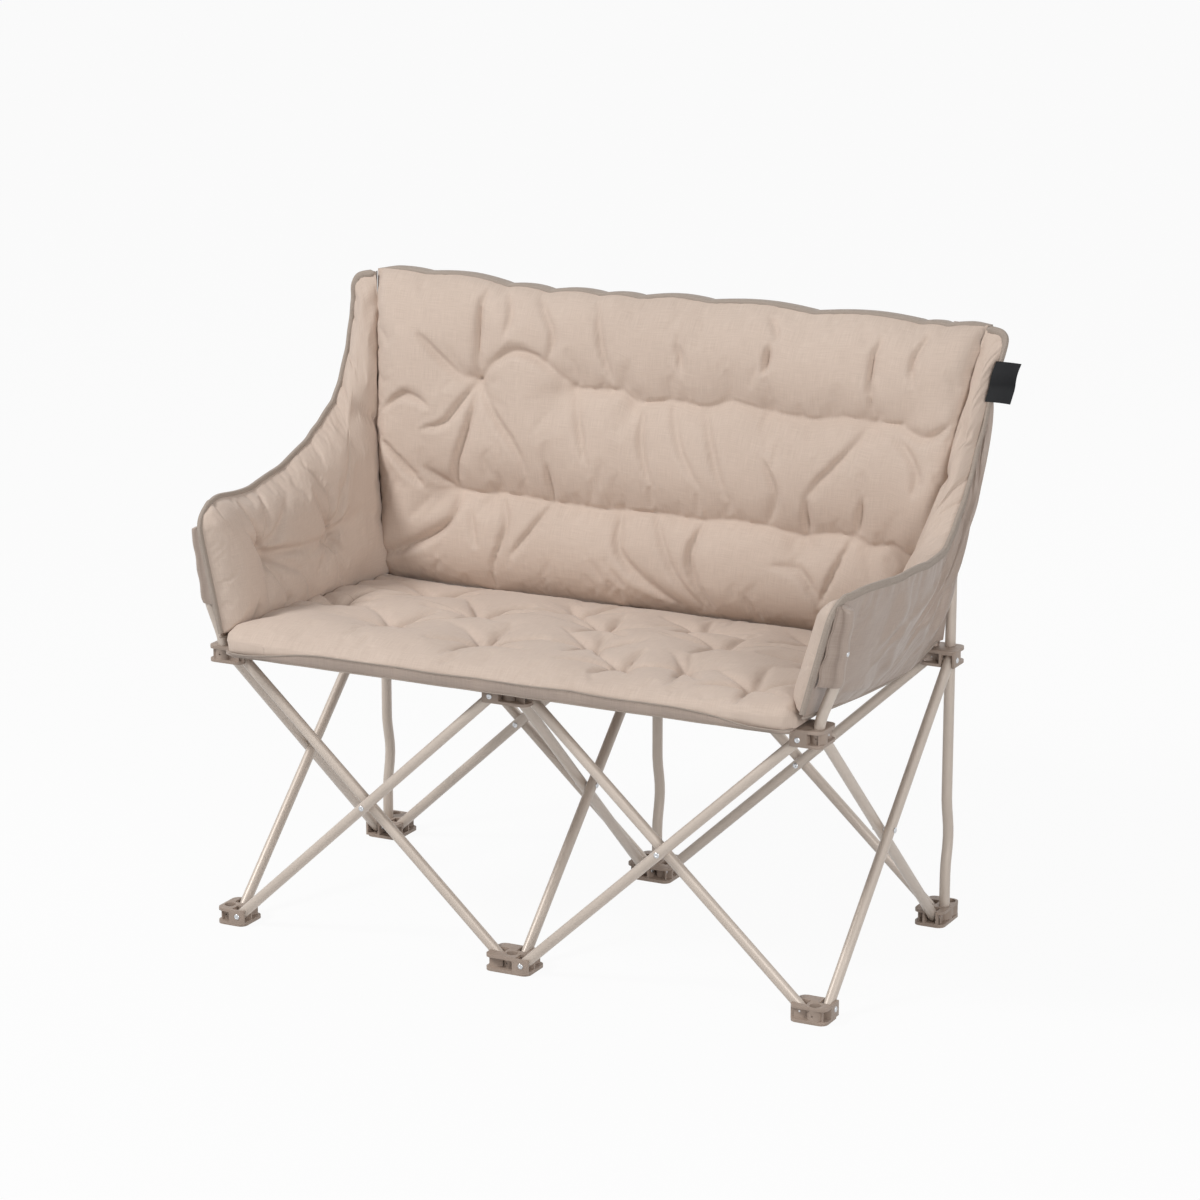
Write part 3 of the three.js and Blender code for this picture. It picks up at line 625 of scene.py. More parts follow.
stud, start, end = grow("Rivet heads", [("Head", "Object"), ("Finish", "Material")])
facing = add(stud, "GeometryNodeInputNamedAttribute")
facing.data_type = "FLOAT_VECTOR"
facing.inputs["Name"].default_value = "facing"
source = add(stud, "GeometryNodeObjectInfo", Object=start["Head"])
turned = stud.nodes.new("FunctionNodeAlignRotationToVector")
turned.axis = "Z"
stud.links.new(facing.outputs["Attribute"], turned.inputs["Vector"])
placed = add(stud, "GeometryNodeInstanceOnPoints", Points=start["Geometry"],
             Instance=source.outputs["Geometry"], Rotation=turned.outputs[0])
real = add(stud, "GeometryNodeRealizeInstances", Geometry=placed.outputs[0])
painted = add(stud, "GeometryNodeSetMaterial", Geometry=real.outputs[0], Material=start["Finish"])
stud.links.new(painted.outputs[0], end["Geometry"])


def rivet_head(shank):
    """A domed head with a dimple, its seat at z = 0, and a shank that reaches down into the work."""
    dome = [(head_radius * math.cos(a), head_rise * (head_lip + (1 - head_lip) * math.sin(a)))
            for a in map(math.radians, dome_angles)]
    bowl = [(dimple_radius, head_rise), (dimple_radius * 0.6, head_rise - dimple_depth * 0.8),
            (0.0, head_rise - dimple_depth)]
    profile = [(0.0, -shank), (shank_radius, -shank), (shank_radius, 0.0), (head_radius, 0.0)] + dome + bowl
    shape = bmesh.new()
    ring = [shape.verts.new((r, 0, z)) for r, z in profile]
    edges = [shape.edges.new(pair) for pair in zip(ring, ring[1:])]
    bmesh.ops.spin(shape, geom=ring + edges, cent=(0, 0, 0), axis=(0, 0, 1), angle=2 * math.pi,
                   steps=head_sides, use_merge=True, use_normal_flip=False)
    bmesh.ops.remove_doubles(shape, verts=shape.verts, dist=1e-6)
    bmesh.ops.recalc_face_normals(shape, faces=shape.faces)
    mesh = bpy.data.meshes.new("head")
    shape.to_mesh(mesh)
    shape.free()
    return keep("head", mesh, smooth_below=50)


def rivets(name, seats, head):
    """Heads at places, each facing its own way. A seat is the head's place and its direction."""
    mesh = bpy.data.meshes.new("seats")
    mesh.from_pydata([tuple(place) for place, _ in seats], [], [])
    facing = mesh.attributes.new("facing", "FLOAT_VECTOR", "POINT")
    facing.data.foreach_set("vector", [c for _, way in seats for c in way])
    return settle(name, mesh, stud, {"Head": head, "Finish": zinc})


cheek_face = slot_half + cheek_wall
slot_head = rivet_head(cheek_face)
for node, pivots in slots_of.items():
    seats = [(place + side * sign * cheek_face, side * sign) for place, side in pivots for sign in (-1, 1)]
    piece = rivets(f"slot_rivets_{node}", seats, slot_head)
    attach(piece, body_of[node])
crossing_face = plane_offset + tube_radius
crossing_head = rivet_head(crossing_face)
crossings = [(f"{line}_{bay}_rivet", Vector(((column_x[bay] + middle_x) / 2, line_y[line], 0)), back)
             for line in ("front", "rear") for bay in ("left", "right")]
crossings += [(f"side_{column}_rivet", Vector((column_x[column], (front_line + rear_line) / 2, 0)), right)
              for column in column_x]
for node, place, way in crossings:
    place.z = (pivot_rise + hub_pivot) / 2
    seats = [(place + way * sign * crossing_face, way * sign) for sign in (-1, 1)]
    piece = rivets("domed_" + node, seats, crossing_head)
    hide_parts(node)
    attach(piece, body_of[node])
for head in (slot_head, crossing_head):
    bpy.data.objects.remove(head)

# Quilted back. One woven polyester face over loose filling, sewn down along two wavy lines and at a few
# tufts, bound at its rim, and blown up by its filling, so that it puckers at every sewn place.
mm = 0.001
back_bottom = hub_top + 0.001
back_rise = 0.480
back_half_low = 0.468
back_half_top = 0.512
shell_gap = 0.0109
shell_rear = rear_line - shell_gap
pad_rear = 0.0031
back_rim = 0.012
bound_rim = 0.007
back_crown = 0.038
low_swell = 0.018
low_levels = (0.47, 0.60)
back_roll = 0.062
seam_share = 0.30
seam_roll = 0.060
side_roll = 0.030
seam_sink = 0.005
crease_share = 0.6
crease_width = 0.46
crease_fill = 1.6
tuft_radius = 0.0045
tuft_floor = 0.15
back_tuft_reach = 0.045
bound_reach = 0.035
seam_reach = 0.012
least_pad = 0.006
seam_puckers = {"reach": 0.016, "height": 0.0016, "pitch": 0.011, "seed": 5}
rim_puckers = {"reach": 0.018, "height": 0.0016, "pitch": 0.013, "seed": 6}
pucker_half = 0.7
pucker_start = 0.004
puff_frames = 20
slack_cells = (7, 12)
slack_range = (0.3, 1.7)
cloth_mass = 0.1
sharp_side = 0.65
soft_side = 1.35
pad_inset = 0.003
wing_margin = 0.004
pull_right = 0.008
back_across = 160
channel_rows = (24, 30, 24)
upper_seam = [(-141, 761), (-90, 764), (-58, 766), (-34, 749), (25, 759), (82, 753), (123, 767),
              (186, 756), (255, 752), (300, 760), (353, 757), (400, 758)]
lower_seam = [(-340, 588), (-293, 587), (-250, 590), (-162, 586), (-85, 583), (10, 588), (92, 584),
              (135, 590), (197, 588), (259, 578), (289, 586), (334, 588), (365, 575), (398, 581), (436, 560)]
back_tufts = [(-303, 761), (-141, 761), (-325, 588), (-34, 749), (186, 756), (353, 757), (-262, 588),
              (-50, 585), (259, 578), (436, 560)]
top_valleys = [(-512, 906), (-403, 911), (-268, 903), (-198, 900), (-112, 902), (-50, 903), (60, 906),
               (225, 904), (392, 904), (430, 904), (512, 905)]
hill_rise = 0.0065
hill_span = 0.130
back_folds = [
    (7, 11, [(-304, 900), (-309, 862), (-306, 790), (-303, 761)]),
    (8, 13, [(-414, 826), (-370, 790), (-334, 764), (-303, 761)]),
    (7, 10, [(-303, 761), (-330, 722), (-352, 693), (-392, 680)]),
    (8, 10, [(-463, 702), (-436, 722), (-414, 727), (-374, 713)]),
    (9, 11, [(-463, 656), (-427, 627), (-380, 588)]),
    (7, 9, [(-384, 622), (-350, 600), (-325, 588)]),
    (12, 12, [(-470, 470), (-417, 489), (-357, 519), (-330, 545), (-325, 588)]),
    (9, 13, [(-303, 761), (-275, 790), (-246, 806), (-202, 801), (-165, 778), (-141, 761)]),
    (6, 12, [(-141, 761), (-124, 715), (-104, 655)]),
    (7, 13, [(-303, 761), (-262, 706), (-216, 655), (-205, 620)]),
    (7, 12, [(-303, 761), (-312, 690), (-330, 620), (-325, 588)]),
    (6, 8, [(-171, 650), (-162, 588)]),
    (6, 11, [(-162, 586), (-190, 540), (-222, 497)]),
    (5, 11, [(-305, 575), (-278, 500)]),
    (9, 15, [(-50, 585), (-38, 524), (2, 488), (60, 452)]),
    (8, 8, [(178, 856), (177, 812)]),
    (6, 10, [(356, 886), (345, 837), (350, 772)]),
    (5, 9, [(31, 848), (42, 806)]),
    (9, 11, [(400, 752), (440, 741), (474, 766)]),
    (7, 12, [(390, 740), (430, 700), (428, 655)]),
    (6, 13, [(353, 757), (318, 708), (280, 668), (262, 640)]),
    (6, 13, [(25, 759), (52, 690), (90, 634)]),
    (5, 12, [(82, 753), (108, 680), (132, 626)]),
    (8, 13, [(92, 584), (80, 520), (118, 447)]),
    (6, 11, [(10, 588), (55, 505), (105, 447)]),
    (7, 12, [(209, 530), (259, 527), (300, 479)]),
    (7, 11, [(334, 588), (318, 540), (296, 484)]),
    (6, 9, [(352, 648), (343, 590)]),
    (6, 9, [(262, 640), (259, 580)]),
    (6, 10, [(-215, 892), (-180, 840), (-186, 800)]),
    (5, 10, [(-112, 890), (-96, 830), (-70, 775)]),
    (5, 11, [(-20, 748), (-14, 690), (4, 640)]),
    (6, 11, [(-250, 590), (-236, 540), (-252, 480)]),
    (5, 10, [(197, 588), (214, 640), (190, 690)]),
    (6, 11, [(436, 560), (410, 515), (420, 470)]),
    (6, 10, [(-268, 895), (-256, 862), (-262, 830)]),
    (5, 9, [(172, 895), (196, 862)]),
    (6, 9, [(428, 897), (408, 850), (416, 810)]),
]
quilt_cloth, tree, shader = finish("quilt cloth", (203, 186, 171), 0.86)
shader.inputs["Sheen Weight"].default_value = 0.18
shader.inputs["Sheen Roughness"].default_value = 0.55
shader.inputs["Specular IOR Level"].default_value = 0.3


def figure(tree, operation, *values):
    """One step of arithmetic between numbers and other nodes' outputs."""
    node = tree.nodes.new("ShaderNodeMath")
    node.operation = operation
    for socket, value in zip(node.inputs, values):
        if isinstance(value, bpy.types.NodeSocket):
            tree.links.new(value, socket)
        else:
            socket.default_value = value
    return node.outputs[0]


def weave(tree, pitch, slub_width, slub_length):
    """Plain-woven threads along a piece's UV map. Gives their height and their uneven tone, 0 to 1."""
    place = tree.nodes.new("ShaderNodeUVMap")
    place.uv_map = "cloth"
    parts = add(tree, "ShaderNodeSeparateXYZ", Vector=place.outputs["UV"])
    waves = []
    for axis in ("X", "Y"):
        turns = figure(tree, "MULTIPLY", parts.outputs[axis], 2 * math.pi / pitch)
        waves.append(figure(tree, "SINE", turns))
    height = figure(tree, "MULTIPLY_ADD", figure(tree, "MULTIPLY", waves[0], waves[1]), 0.5, 0.5)
    slubs = []
    for along, across in ((slub_length, slub_width), (slub_width, slub_length)):
        size = (1 / along, 1 / across, 1)
        stretched = add(tree, "ShaderNodeMapping", Vector=place.outputs["UV"], Scale=size)
        pattern = add(tree, "ShaderNodeTexNoise", Vector=stretched.outputs[0], Scale=1.0, Detail=2.0)
        slubs.append(pattern.outputs["Fac"])
    tone = figure(tree, "MULTIPLY_ADD", figure(tree, "ADD", *slubs), 0.5, 0.0)
    return height, tone


threads, slub = weave(tree, pitch=0.0017, slub_width=0.0010, slub_length=0.03)
slub_share = 0.75
thread_share = 0.12
slub_part = figure(tree, "MULTIPLY", slub, slub_share)
dye_part = figure(tree, "MULTIPLY", noise(tree, scale=7.0, detail=3.0), 1 - slub_share)
uneven = figure(tree, "ADD", slub_part, dye_part)
uneven = figure(tree, "SUBTRACT", uneven, thread_share / 2)
uneven = figure(tree, "MULTIPLY_ADD", threads, thread_share, uneven)
tint(tree, shader, uneven, (190, 171, 157), (212, 194, 180), low=0.3, high=0.7)
crumple = noise(tree, scale=55.0, detail=6.0, Roughness=0.6)
relief(tree, shader, (crumple, 0.35, 0.0016), (threads, 0.3, 0.00025))


def gap_to(line, x, z):
    """Distance of each point of a face to a line drawn on it, or to a single point."""
    nearest = np.full(x.shape, np.inf)
    for (ax, az), (bx, bz) in zip(line, line[1:] or line):
        dx, dz = bx - ax, bz - az
        share = np.clip(((x - ax) * dx + (z - az) * dz) / max(dx * dx + dz * dz, 1e-12), 0, 1)
        nearest = np.minimum(nearest, np.hypot(x - ax - share * dx, z - az - share * dz))
    return nearest


def metres(line):
    """Drawn places, in millimetres, as metres."""
    return [(x * mm, z * mm) for x, z in line]


def curve(values, share):
    """A smooth curve through evenly spaced values."""
    values = np.asarray(values, float)
    ends = np.concatenate([[2 * values[0] - values[1]], values, [2 * values[-1] - values[-2]]])
    place = np.clip(share, 0, 1) * (len(values) - 1)
    k = np.minimum(place.astype(int), len(values) - 2)
    t = place - k
    a, b, c, d = ends[k], ends[k + 1], ends[k + 2], ends[k + 3]
    return b + 0.5 * t * (c - a + t * (2 * a - 5 * b + 4 * c - d + t * (3 * (b - c) + d - a)))


def rounded(line, steps=5):
    """A smooth line through the corners of a drawn one."""
    share = np.linspace(0, 1, steps * (len(line) - 1) + 1)
    return list(zip(*(curve([p[k] for p in line], share).tolist() for k in (0, 1))))


def spindle(line, width, x, z):
    """A fold's depth over a face, 0 to 1: sharp on one side, sloping on the other, thin at both ends."""
    lengths = [math.dist(a, b) for a, b in zip(line, line[1:])]
    nearest = np.full(x.shape, np.inf)
    depth = np.zeros(x.shape)
    done = 0.0
    for (ax, az), (bx, bz), length in zip(line, line[1:], lengths):
        dx, dz = bx - ax, bz - az
        share = np.clip(((x - ax) * dx + (z - az) * dz) / length ** 2, 0, 1)
        gap = np.hypot(x - ax - share * dx, z - az - share * dz)
        along = (done + share * length) / sum(lengths)
        side = np.where((x - ax) * dz - (z - az) * dx > 0, sharp_side, soft_side)
        body = np.sin(np.pi * np.clip(along, 0.02, 0.98)) ** 0.6
        fold = body * np.exp(-(gap / (width * side * (0.45 + 0.55 * body))) ** 2)
        depth = np.where(gap < nearest, fold, depth)
        nearest = np.minimum(nearest, gap)
        done += length
    return depth


def gathers(x, gap, reach, height, pitch, seed):
    """Small uneven puckers along a sewn line that fade away from it."""
    spots = np.arange(-pucker_half, pucker_half, pitch)
    chance = np.random.default_rng(seed).random(len(spots)) - 0.5
    return height * 2 * np.interp(x, spots, chance) * np.exp(-gap / reach)


def swell(distance, roll):
    """Height of the filling at a distance from a sewn place: 0 there, 1 past the roll."""
    return np.sin(np.pi / 2 * np.clip(distance / roll, 0, 1)) ** 0.6


def drift(shape, cells, seed):
    """Slow noise over a grid, 0 to 1."""
    coarse = np.random.default_rng(seed).random((cells[0] + 1, cells[1] + 1))
    rows = np.linspace(0, cells[0], shape[0])
    cols = np.linspace(0, cells[1], shape[1])
    across = np.array([np.interp(cols, np.arange(cells[1] + 1), line) for line in coarse])
    return np.array([np.interp(rows, np.arange(cells[0] + 1), line) for line in across.T]).T


def quads(grid):
    """The four-sided faces between the points of a grid."""
    return np.stack([grid[:-1, :-1], grid[:-1, 1:], grid[1:, 1:], grid[1:, :-1]], -1).reshape(-1, 4).tolist()


def puff(start, held, growth, bend, cap, seed, push=4.0):
    """Blows a sewn cloth face up over its filling by simulation. It stays put where it is held."""
    mesh = bpy.data.meshes.new("blank cloth")
    index = np.arange(held.size).reshape(held.shape)
    mesh.from_pydata(start.reshape(-1, 3).tolist(), [], quads(index))
    blank = keep("blank", mesh)
    pin = blank.vertex_groups.new(name="held")
    pin.add(index[held].tolist(), 1.0, "REPLACE")
    slack = blank.vertex_groups.new(name="slack")
    for k, share in enumerate(drift(held.shape, slack_cells, seed).ravel()):
        slack.add([k], float(share), "REPLACE")
    cloth = blank.modifiers.new("cloth", "CLOTH")
    cloth.collision_settings.use_collision = False
    cloth.point_cache.frame_start = 1
    cloth.point_cache.frame_end = puff_frames
    rules = cloth.settings
    rules.vertex_group_mass = "held"
    rules.vertex_group_shrink = "slack"
    rules.shrink_min = -slack_range[0] * growth
    rules.shrink_max = -slack_range[1] * growth
    rules.use_pressure = True
    rules.uniform_pressure_force = push
    rules.effector_weights.gravity = 0
    rules.mass = cloth_mass
    rules.bending_stiffness = bend
    rules.quality = 5
    scene = bpy.context.scene
    for number in range(1, puff_frames + 1):
        scene.frame_set(number)
    graph = bpy.context.evaluated_depsgraph_get()
    moved = np.empty(held.size * 3)
    blank.evaluated_get(graph).data.vertices.foreach_get("co", moved)
    bpy.data.objects.remove(blank)
    scene.frame_set(1)
    move = moved.reshape(start.shape) - start
    size = np.linalg.norm(move, axis=2, keepdims=True)
    return start + move * np.minimum(1, cap / np.maximum(size, 1e-9))


def finer(points):
    """Twice the rows and columns, on a smooth face through the same points."""
    for axis in (0, 1):
        old = np.moveaxis(points, axis, 0)
        ends = np.concatenate([2 * old[:1] - old[1:2], old, 2 * old[-1:] - old[-2:-1]])
        new = np.empty((2 * len(old) - 1, *old.shape[1:]))
        new[::2] = old
        new[1::2] = (9 * (old[:-1] + old[1:]) - ends[:-3] - ends[3:]) / 16
        points = np.moveaxis(new, 0, axis)
    return points


def map_points(mesh, spots):
    """Gives a mesh a UV map from one place for each of its points."""
    corner = np.empty(len(mesh.loops), int)
    mesh.loops.foreach_get("vertex_index", corner)
    mesh.uv_layers.new(name="cloth").data.foreach_set("uv", spots[corner].ravel())


def lay_cloth(mesh, face, step=None):
    """Gives a mesh over a face its UV map, in metres along the cloth. A rear face has each step-th point."""
    across = np.concatenate([[0], np.cumsum(np.linalg.norm(np.diff(face, axis=1), axis=2).mean(0))])
    up = np.concatenate([[0], np.cumsum(np.linalg.norm(np.diff(face, axis=0), axis=2).mean(1))])
    spots = np.stack(np.meshgrid(across, up), -1)
    faces = [spots] if step is None else [spots, spots[::step, ::step]]
    map_points(mesh, np.concatenate([part.reshape(-1, 2) for part in faces]))


def turn_out(mesh):
    """Turns a closed mesh's faces outwards."""
    shape = bmesh.new()
    shape.from_mesh(mesh)
    if shape.calc_volume(signed=True) < 0:
        bmesh.ops.reverse_faces(shape, faces=shape.faces)
        shape.to_mesh(mesh)
    shape.free()


def envelope(name, front, rear, material, boxing=None):
    """A closed pad between a fine front face and a plain rear face, with UVs in metres along the cloth.
    Its narrow sides can be of another cloth, the boxing."""
    rows, cols = front.shape[:2]
    step = (rows - 1) // (rear.shape[0] - 1)
    a = np.arange(rows * cols).reshape(rows, cols)
    b = rows * cols + np.arange(rear.shape[0] * rear.shape[1]).reshape(rear.shape[:2])
    faces = quads(a) + [face[::-1] for face in quads(b)]
    faced = len(faces)
    sides = ((a[0], b[0]), (a[:, -1], b[:, -1]), (a[-1, ::-1], b[-1, ::-1]), (a[::-1, 0], b[::-1, 0]))
    for fine, coarse in sides:
        for k in range(len(coarse) - 1):
            strip = fine[k * step:(k + 1) * step + 1][::-1]
            faces.append([*strip.tolist(), int(coarse[k]), int(coarse[k + 1])])
    mesh = bpy.data.meshes.new(name)
    mesh.from_pydata(np.concatenate([front.reshape(-1, 3), rear.reshape(-1, 3)]).tolist(), [], faces)
    turn_out(mesh)
    lay_cloth(mesh, front, step)
    mesh.materials.append(material)
    if boxing:
        mesh.materials.append(boxing)
        mesh.polygons.foreach_set("material_index", [0] * faced + [1] * (len(faces) - faced))
    return keep(name, mesh, smooth_below=70)


def hills(x, valleys):
    """Height of a bound edge that the filling lifts between the places where the binding pulls it down."""
    places = np.array([p for p, _ in valleys]) * mm
    levels = np.array([q for _, q in valleys]) * mm
    part = np.clip(np.searchsorted(places, x, side="right") - 1, 0, len(places) - 2)
    span = places[part + 1] - places[part]
    share = np.clip((x - places[part]) / span, 0, 1)
    lift = hill_rise * np.minimum(1, span / hill_span) * np.sin(np.pi * share)
    return np.interp(x, places, levels) + lift


def ease(share, low, high):
    """0 up to a low value, 1 from a high one, and smooth between them."""
    t = np.clip((share - low) / (high - low), 0, 1)
    return t * t * (3 - 2 * t)


def pulled(z):
    """The cloth hangs a little to the right of the frame, more so towards its top."""
    return pull_right * np.clip((z - back_bottom) / back_rise, 0, 1)


def back_half(z):
    """Half the back's width at a height."""
    return back_half_low + (back_half_top - back_half_low) * np.clip((z - back_bottom) / back_rise, 0, 1)


def seam_height(x, seam):
    """Height of a sewn line, its corners eased."""
    places = np.array([p for p, _ in seam]) * mm
    levels = np.array([q for _, q in seam]) * mm
    return sum(np.interp(x + shift * mm, places, levels) for shift in (-8, -4, 0, 4, 8)) / 5


shares = np.linspace(-1, 1, back_across + 1)
level_x = shares * (back_half_low + back_half_top) / 2
levels = [np.full(level_x.shape, back_bottom), seam_height(level_x, lower_seam),
          seam_height(level_x, upper_seam), hills(level_x, top_valleys)]
rows_z = [levels[0][None, :]]
for low, high, count in zip(levels, levels[1:], channel_rows):
    steps = np.linspace(0, 1, count + 1)[1:, None]
    rows_z.append(low + (high - low) * steps)
grid_z = np.concatenate(rows_z)
grid_x = shares[None, :] * (back_half(grid_z) - pad_inset)
side_gap = back_half(grid_z) - pad_inset - wing_margin - np.abs(grid_x)
rim_gap = np.minimum(levels[3] - grid_z, grid_z - back_bottom)
sewn_gap = np.minimum(gap_to(metres(upper_seam), grid_x, grid_z), gap_to(metres(lower_seam), grid_x, grid_z))
filling = swell(rim_gap, back_roll) * swell(side_gap, side_roll)
filling = filling * (seam_share + (1 - seam_share) * swell(sewn_gap, seam_roll))
held = np.zeros(grid_x.shape, bool)
for tuft in metres(back_tufts):
    gap = gap_to([tuft], grid_x, grid_z)
    filling = filling * (tuft_floor + (1 - tuft_floor) * swell(gap, back_tuft_reach))
    held |= gap < tuft_radius
bound = np.clip((levels[3] - grid_z) / bound_reach, 0, 1)
rim = bound_rim + (back_rim - bound_rim) * bound
rim = rim - seam_sink * np.exp(-np.clip(side_gap, 0, None) / seam_reach)
crown = back_crown + low_swell * (1 - ease(grid_z, *low_levels))
thickness = rim + (crown - rim) * filling
for depth, width, line in back_folds:
    crease = depth * mm * spindle(rounded(metres(line)), width * mm, grid_x, grid_z)
    thickness = thickness - crease * np.clip(filling * crease_fill, 0, 1)
thickness = np.maximum(thickness, least_pad)
held[[0, -1]] = True
held |= side_gap < mm
lower_row, upper_row = channel_rows[0], channel_rows[0] + channel_rows[1]
for row, seam in ((lower_row, lower_seam), (upper_row, upper_seam)):
    held[row] |= (grid_x[row] > seam[0][0] * mm) & (grid_x[row] < seam[-1][0] * mm)


def back_point(x, z, depth):
    """A point of the back at a depth in front of its shell's rear face."""
    return np.stack([middle_x + x + pulled(z), shell_rear + post_lean(z) - depth, z], -1)


back_start = back_point(grid_x, grid_z, pad_rear + thickness)
back_face = finer(puff(back_start, held, growth=0.030, bend=0.5, cap=0.013, seed=11))
fine_x, fine_z, fine_fill, fine_sewn, fine_rim = np.moveaxis(
    finer(np.stack([grid_x, grid_z, filling, sewn_gap, levels[3] - grid_z], -1)), -1, 0)
for depth, width, line in back_folds:
    crease = depth * mm * spindle(rounded(metres(line)), crease_width * width * mm, fine_x, fine_z)
    back_face[..., 1] += crease_share * crease * np.clip(fine_fill * crease_fill, 0, 1)
for gap, puckers in ((np.abs(fine_sewn), seam_puckers), (np.abs(fine_rim), rim_puckers)):
    back_face[..., 1] += gathers(fine_x, gap, **puckers) * np.clip(gap / pucker_start, 0, 1)
rear_rows = back_point(fine_x[::4, ::4], fine_z[::4, ::4], pad_rear)
piece = envelope("back_quilt", back_face, rear_rows, quilt_cloth)
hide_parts("back_pad")
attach(piece, body_of["back_pad"])
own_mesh(piece)

# Quilted seat. The same cloth and filling over a sling, tufted by hand so that short folds run out from each
# tuft. It creases along its middle when the frame folds. Its narrow sides are closed by strips of the shell
# cloth, a coated polyester with a slight shine.
shell_cloth, tree, shader = finish("coated shell cloth", (162, 149, 140), 0.5)
shader.inputs["Sheen Weight"].default_value = 0.1
shader.inputs["Coat Weight"].default_value = 0.1
shader.inputs["Coat Roughness"].default_value = 0.38
threads, slub = weave(tree, pitch=0.0011, slub_width=0.0012, slub_length=0.03)
tint(tree, shader, slub, (156, 139, 128), (175, 158, 146), low=0.3, high=0.7)
crumple = noise(tree, scale=38.0, detail=5.0, Distortion=0.6)
relief(tree, shader, (crumple, 0.3, 0.0015), (threads, 0.25, 0.00015))
dull(tree, shader, crumple, low=0.36, high=0.54)
middle_y = (front_line + rear_line) / 2
seat_half = 0.4565
seat_draw = 0.0015
seat_front = -0.283
seat_rear = 0.206
level_edge = -0.189
seat_drop = 0.018
sling_lift = 0.0003
pad_lift = 0.0036
seat_rim = 0.0145
seat_crown = 0.033
seat_roll = 0.055
quick_roll = 0.016
quick_part = 0.5
seat_sink = 0.010
seat_across = 148
seat_rows = (48, 36)
half_gap = 0.0003
seat_tufts = [(-262, -115), (-84, -161), (60, -95), (150, -182), (232, -147), (359, -194), (-400, -40),
              (-180, 0), (20, 20), (220, 5), (400, -35), (-310, 100), (-70, 110), (140, 105), (330, 100)]
front_pinches = [(-452, 0), (-338, -1), (-158, -3), (-31, -3), (120, -2), (227, -4), (340, -2), (452, 0)]
side_pinches = [-0.283, -0.200, -0.118, -0.060, 0.010, 0.085, 0.150, 0.206]
side_puff = 0.009
seat_corner = 0.020
star_reach = 0.085
star_depth = 0.008
star_width = 0.0085
seat_tuft_reach = 0.06
sink_reach = 0.15
front_reach = 0.030
front_puff = 0.005
front_lift = 0.002
side_reach = 0.028
side_start = 0.03
turned_down = (0.285, -0.225)


def sling_height(y):
    """Height of the sling's underside: level over the front hubs, then falling to the rear."""
    share = np.clip((y - level_edge) / (seat_rear - level_edge), 0, 1)
    return hub_top + sling_lift - seat_drop * share


def seat_half_at(y):
    """Half the seat's width, drawn in a little between its ends."""
    return seat_half - seat_draw * np.sin(np.pi * np.clip((y - seat_front) / (seat_rear - seat_front), 0, 1))


def between(places, spots):
    """0 at each of some places along a line and 1 midway between two of them."""
    places = np.asarray(places)
    part = np.clip(np.searchsorted(places, spots, side="right") - 1, 0, len(places) - 2)
    share = np.clip((spots - places[part]) / (places[part + 1] - places[part]), 0, 1)
    return np.sin(np.pi * share) ** 0.7


def corner_draw(x, y):
    """How far back the cloth is drawn at the seat's rounded front corners."""
    share = np.clip((np.abs(x) - seat_half + seat_corner) / seat_corner, 0, 0.999)
    fade = np.clip(1 - (y - seat_front) / (3 * seat_corner), 0, 1)
    return seat_corner * (1 - np.sqrt(1 - share ** 2)) * fade


def star(centre, count, seed):
    """Short folds that run out from a tuft, at uneven angles and of uneven length."""
    chance = np.random.default_rng(seed)
    lines = []
    for k in range(count):
        angle = 2 * math.pi * (k + 0.7 * chance.random()) / count
        reach = star_reach * (0.55 + 0.6 * chance.random())
        bend = 0.3 * (chance.random() - 0.5)
        points = [(centre[0] + reach * t * math.cos(angle + bend * t),
                   centre[1] + reach * t * math.sin(angle + bend * t)) for t in (0.0, 0.5, 1.0)]
        lines.append(points)
    return lines


def fold_in(thickness, lines, depth, width, spots):
    """Presses folds into a padded face. Each is deepest at its start and dies out at its end. The spots are
    the face's places along and up it, and its share of the filling."""
    x, y, fill = spots
    for line in lines:
        run = math.dist(line[0], line[-1])
        fade = np.clip(1.25 - np.hypot(x - line[0][0], y - line[0][1]) / max(run, 1e-6), 0, 1)
        thickness = thickness - depth * fade * np.exp(-(gap_to(line, x, y) / width) ** 2) * fill
    return thickness


row_y = np.concatenate([np.linspace(seat_front, 0, seat_rows[0] + 1),
                        np.linspace(0, seat_rear, seat_rows[1] + 1)[1:]])
seat_y = np.repeat(row_y[:, None], seat_across + 1, 1)
seat_x = np.linspace(-1, 1, seat_across + 1)[None, :] * seat_half_at(seat_y)
side_gap = seat_half_at(seat_y) - np.abs(seat_x)
rim_gap = np.minimum(side_gap, np.minimum(seat_y - seat_front, seat_rear - seat_y))
filling = quick_part * swell(rim_gap, quick_roll) + (1 - quick_part) * swell(rim_gap, seat_roll)
held = rim_gap < 1e-6
folds = []
for number, tuft in enumerate(metres(seat_tufts)):
    gap = gap_to([tuft], seat_x, seat_y)
    filling = filling * (tuft_floor + (1 - tuft_floor) * swell(gap, seat_tuft_reach))
    held |= gap < tuft_radius
    folds += star(tuft, 6, 40 + number)
crown = seat_crown - seat_sink * ease(seat_y, 0, sink_reach)
thickness = seat_rim + (crown - seat_rim) * filling
thickness = fold_in(thickness, folds, star_depth, star_width, (seat_x, seat_y, filling))
pinch_x = np.array([x for x, _ in front_pinches]) * mm
pinch_z = np.array([z for _, z in front_pinches]) * mm
puffs = between(pinch_x, seat_x[0])
near_front = np.exp(-(seat_y - seat_front) / front_reach)
edge_drop = np.interp(seat_x, pinch_x, pinch_z) * near_front
seat_face_y = seat_y - front_puff * puffs[None, :] * near_front + corner_draw(seat_x, seat_y)
top_z = sling_height(seat_y) + pad_lift + thickness + edge_drop + front_lift * puffs[None, :] * near_front
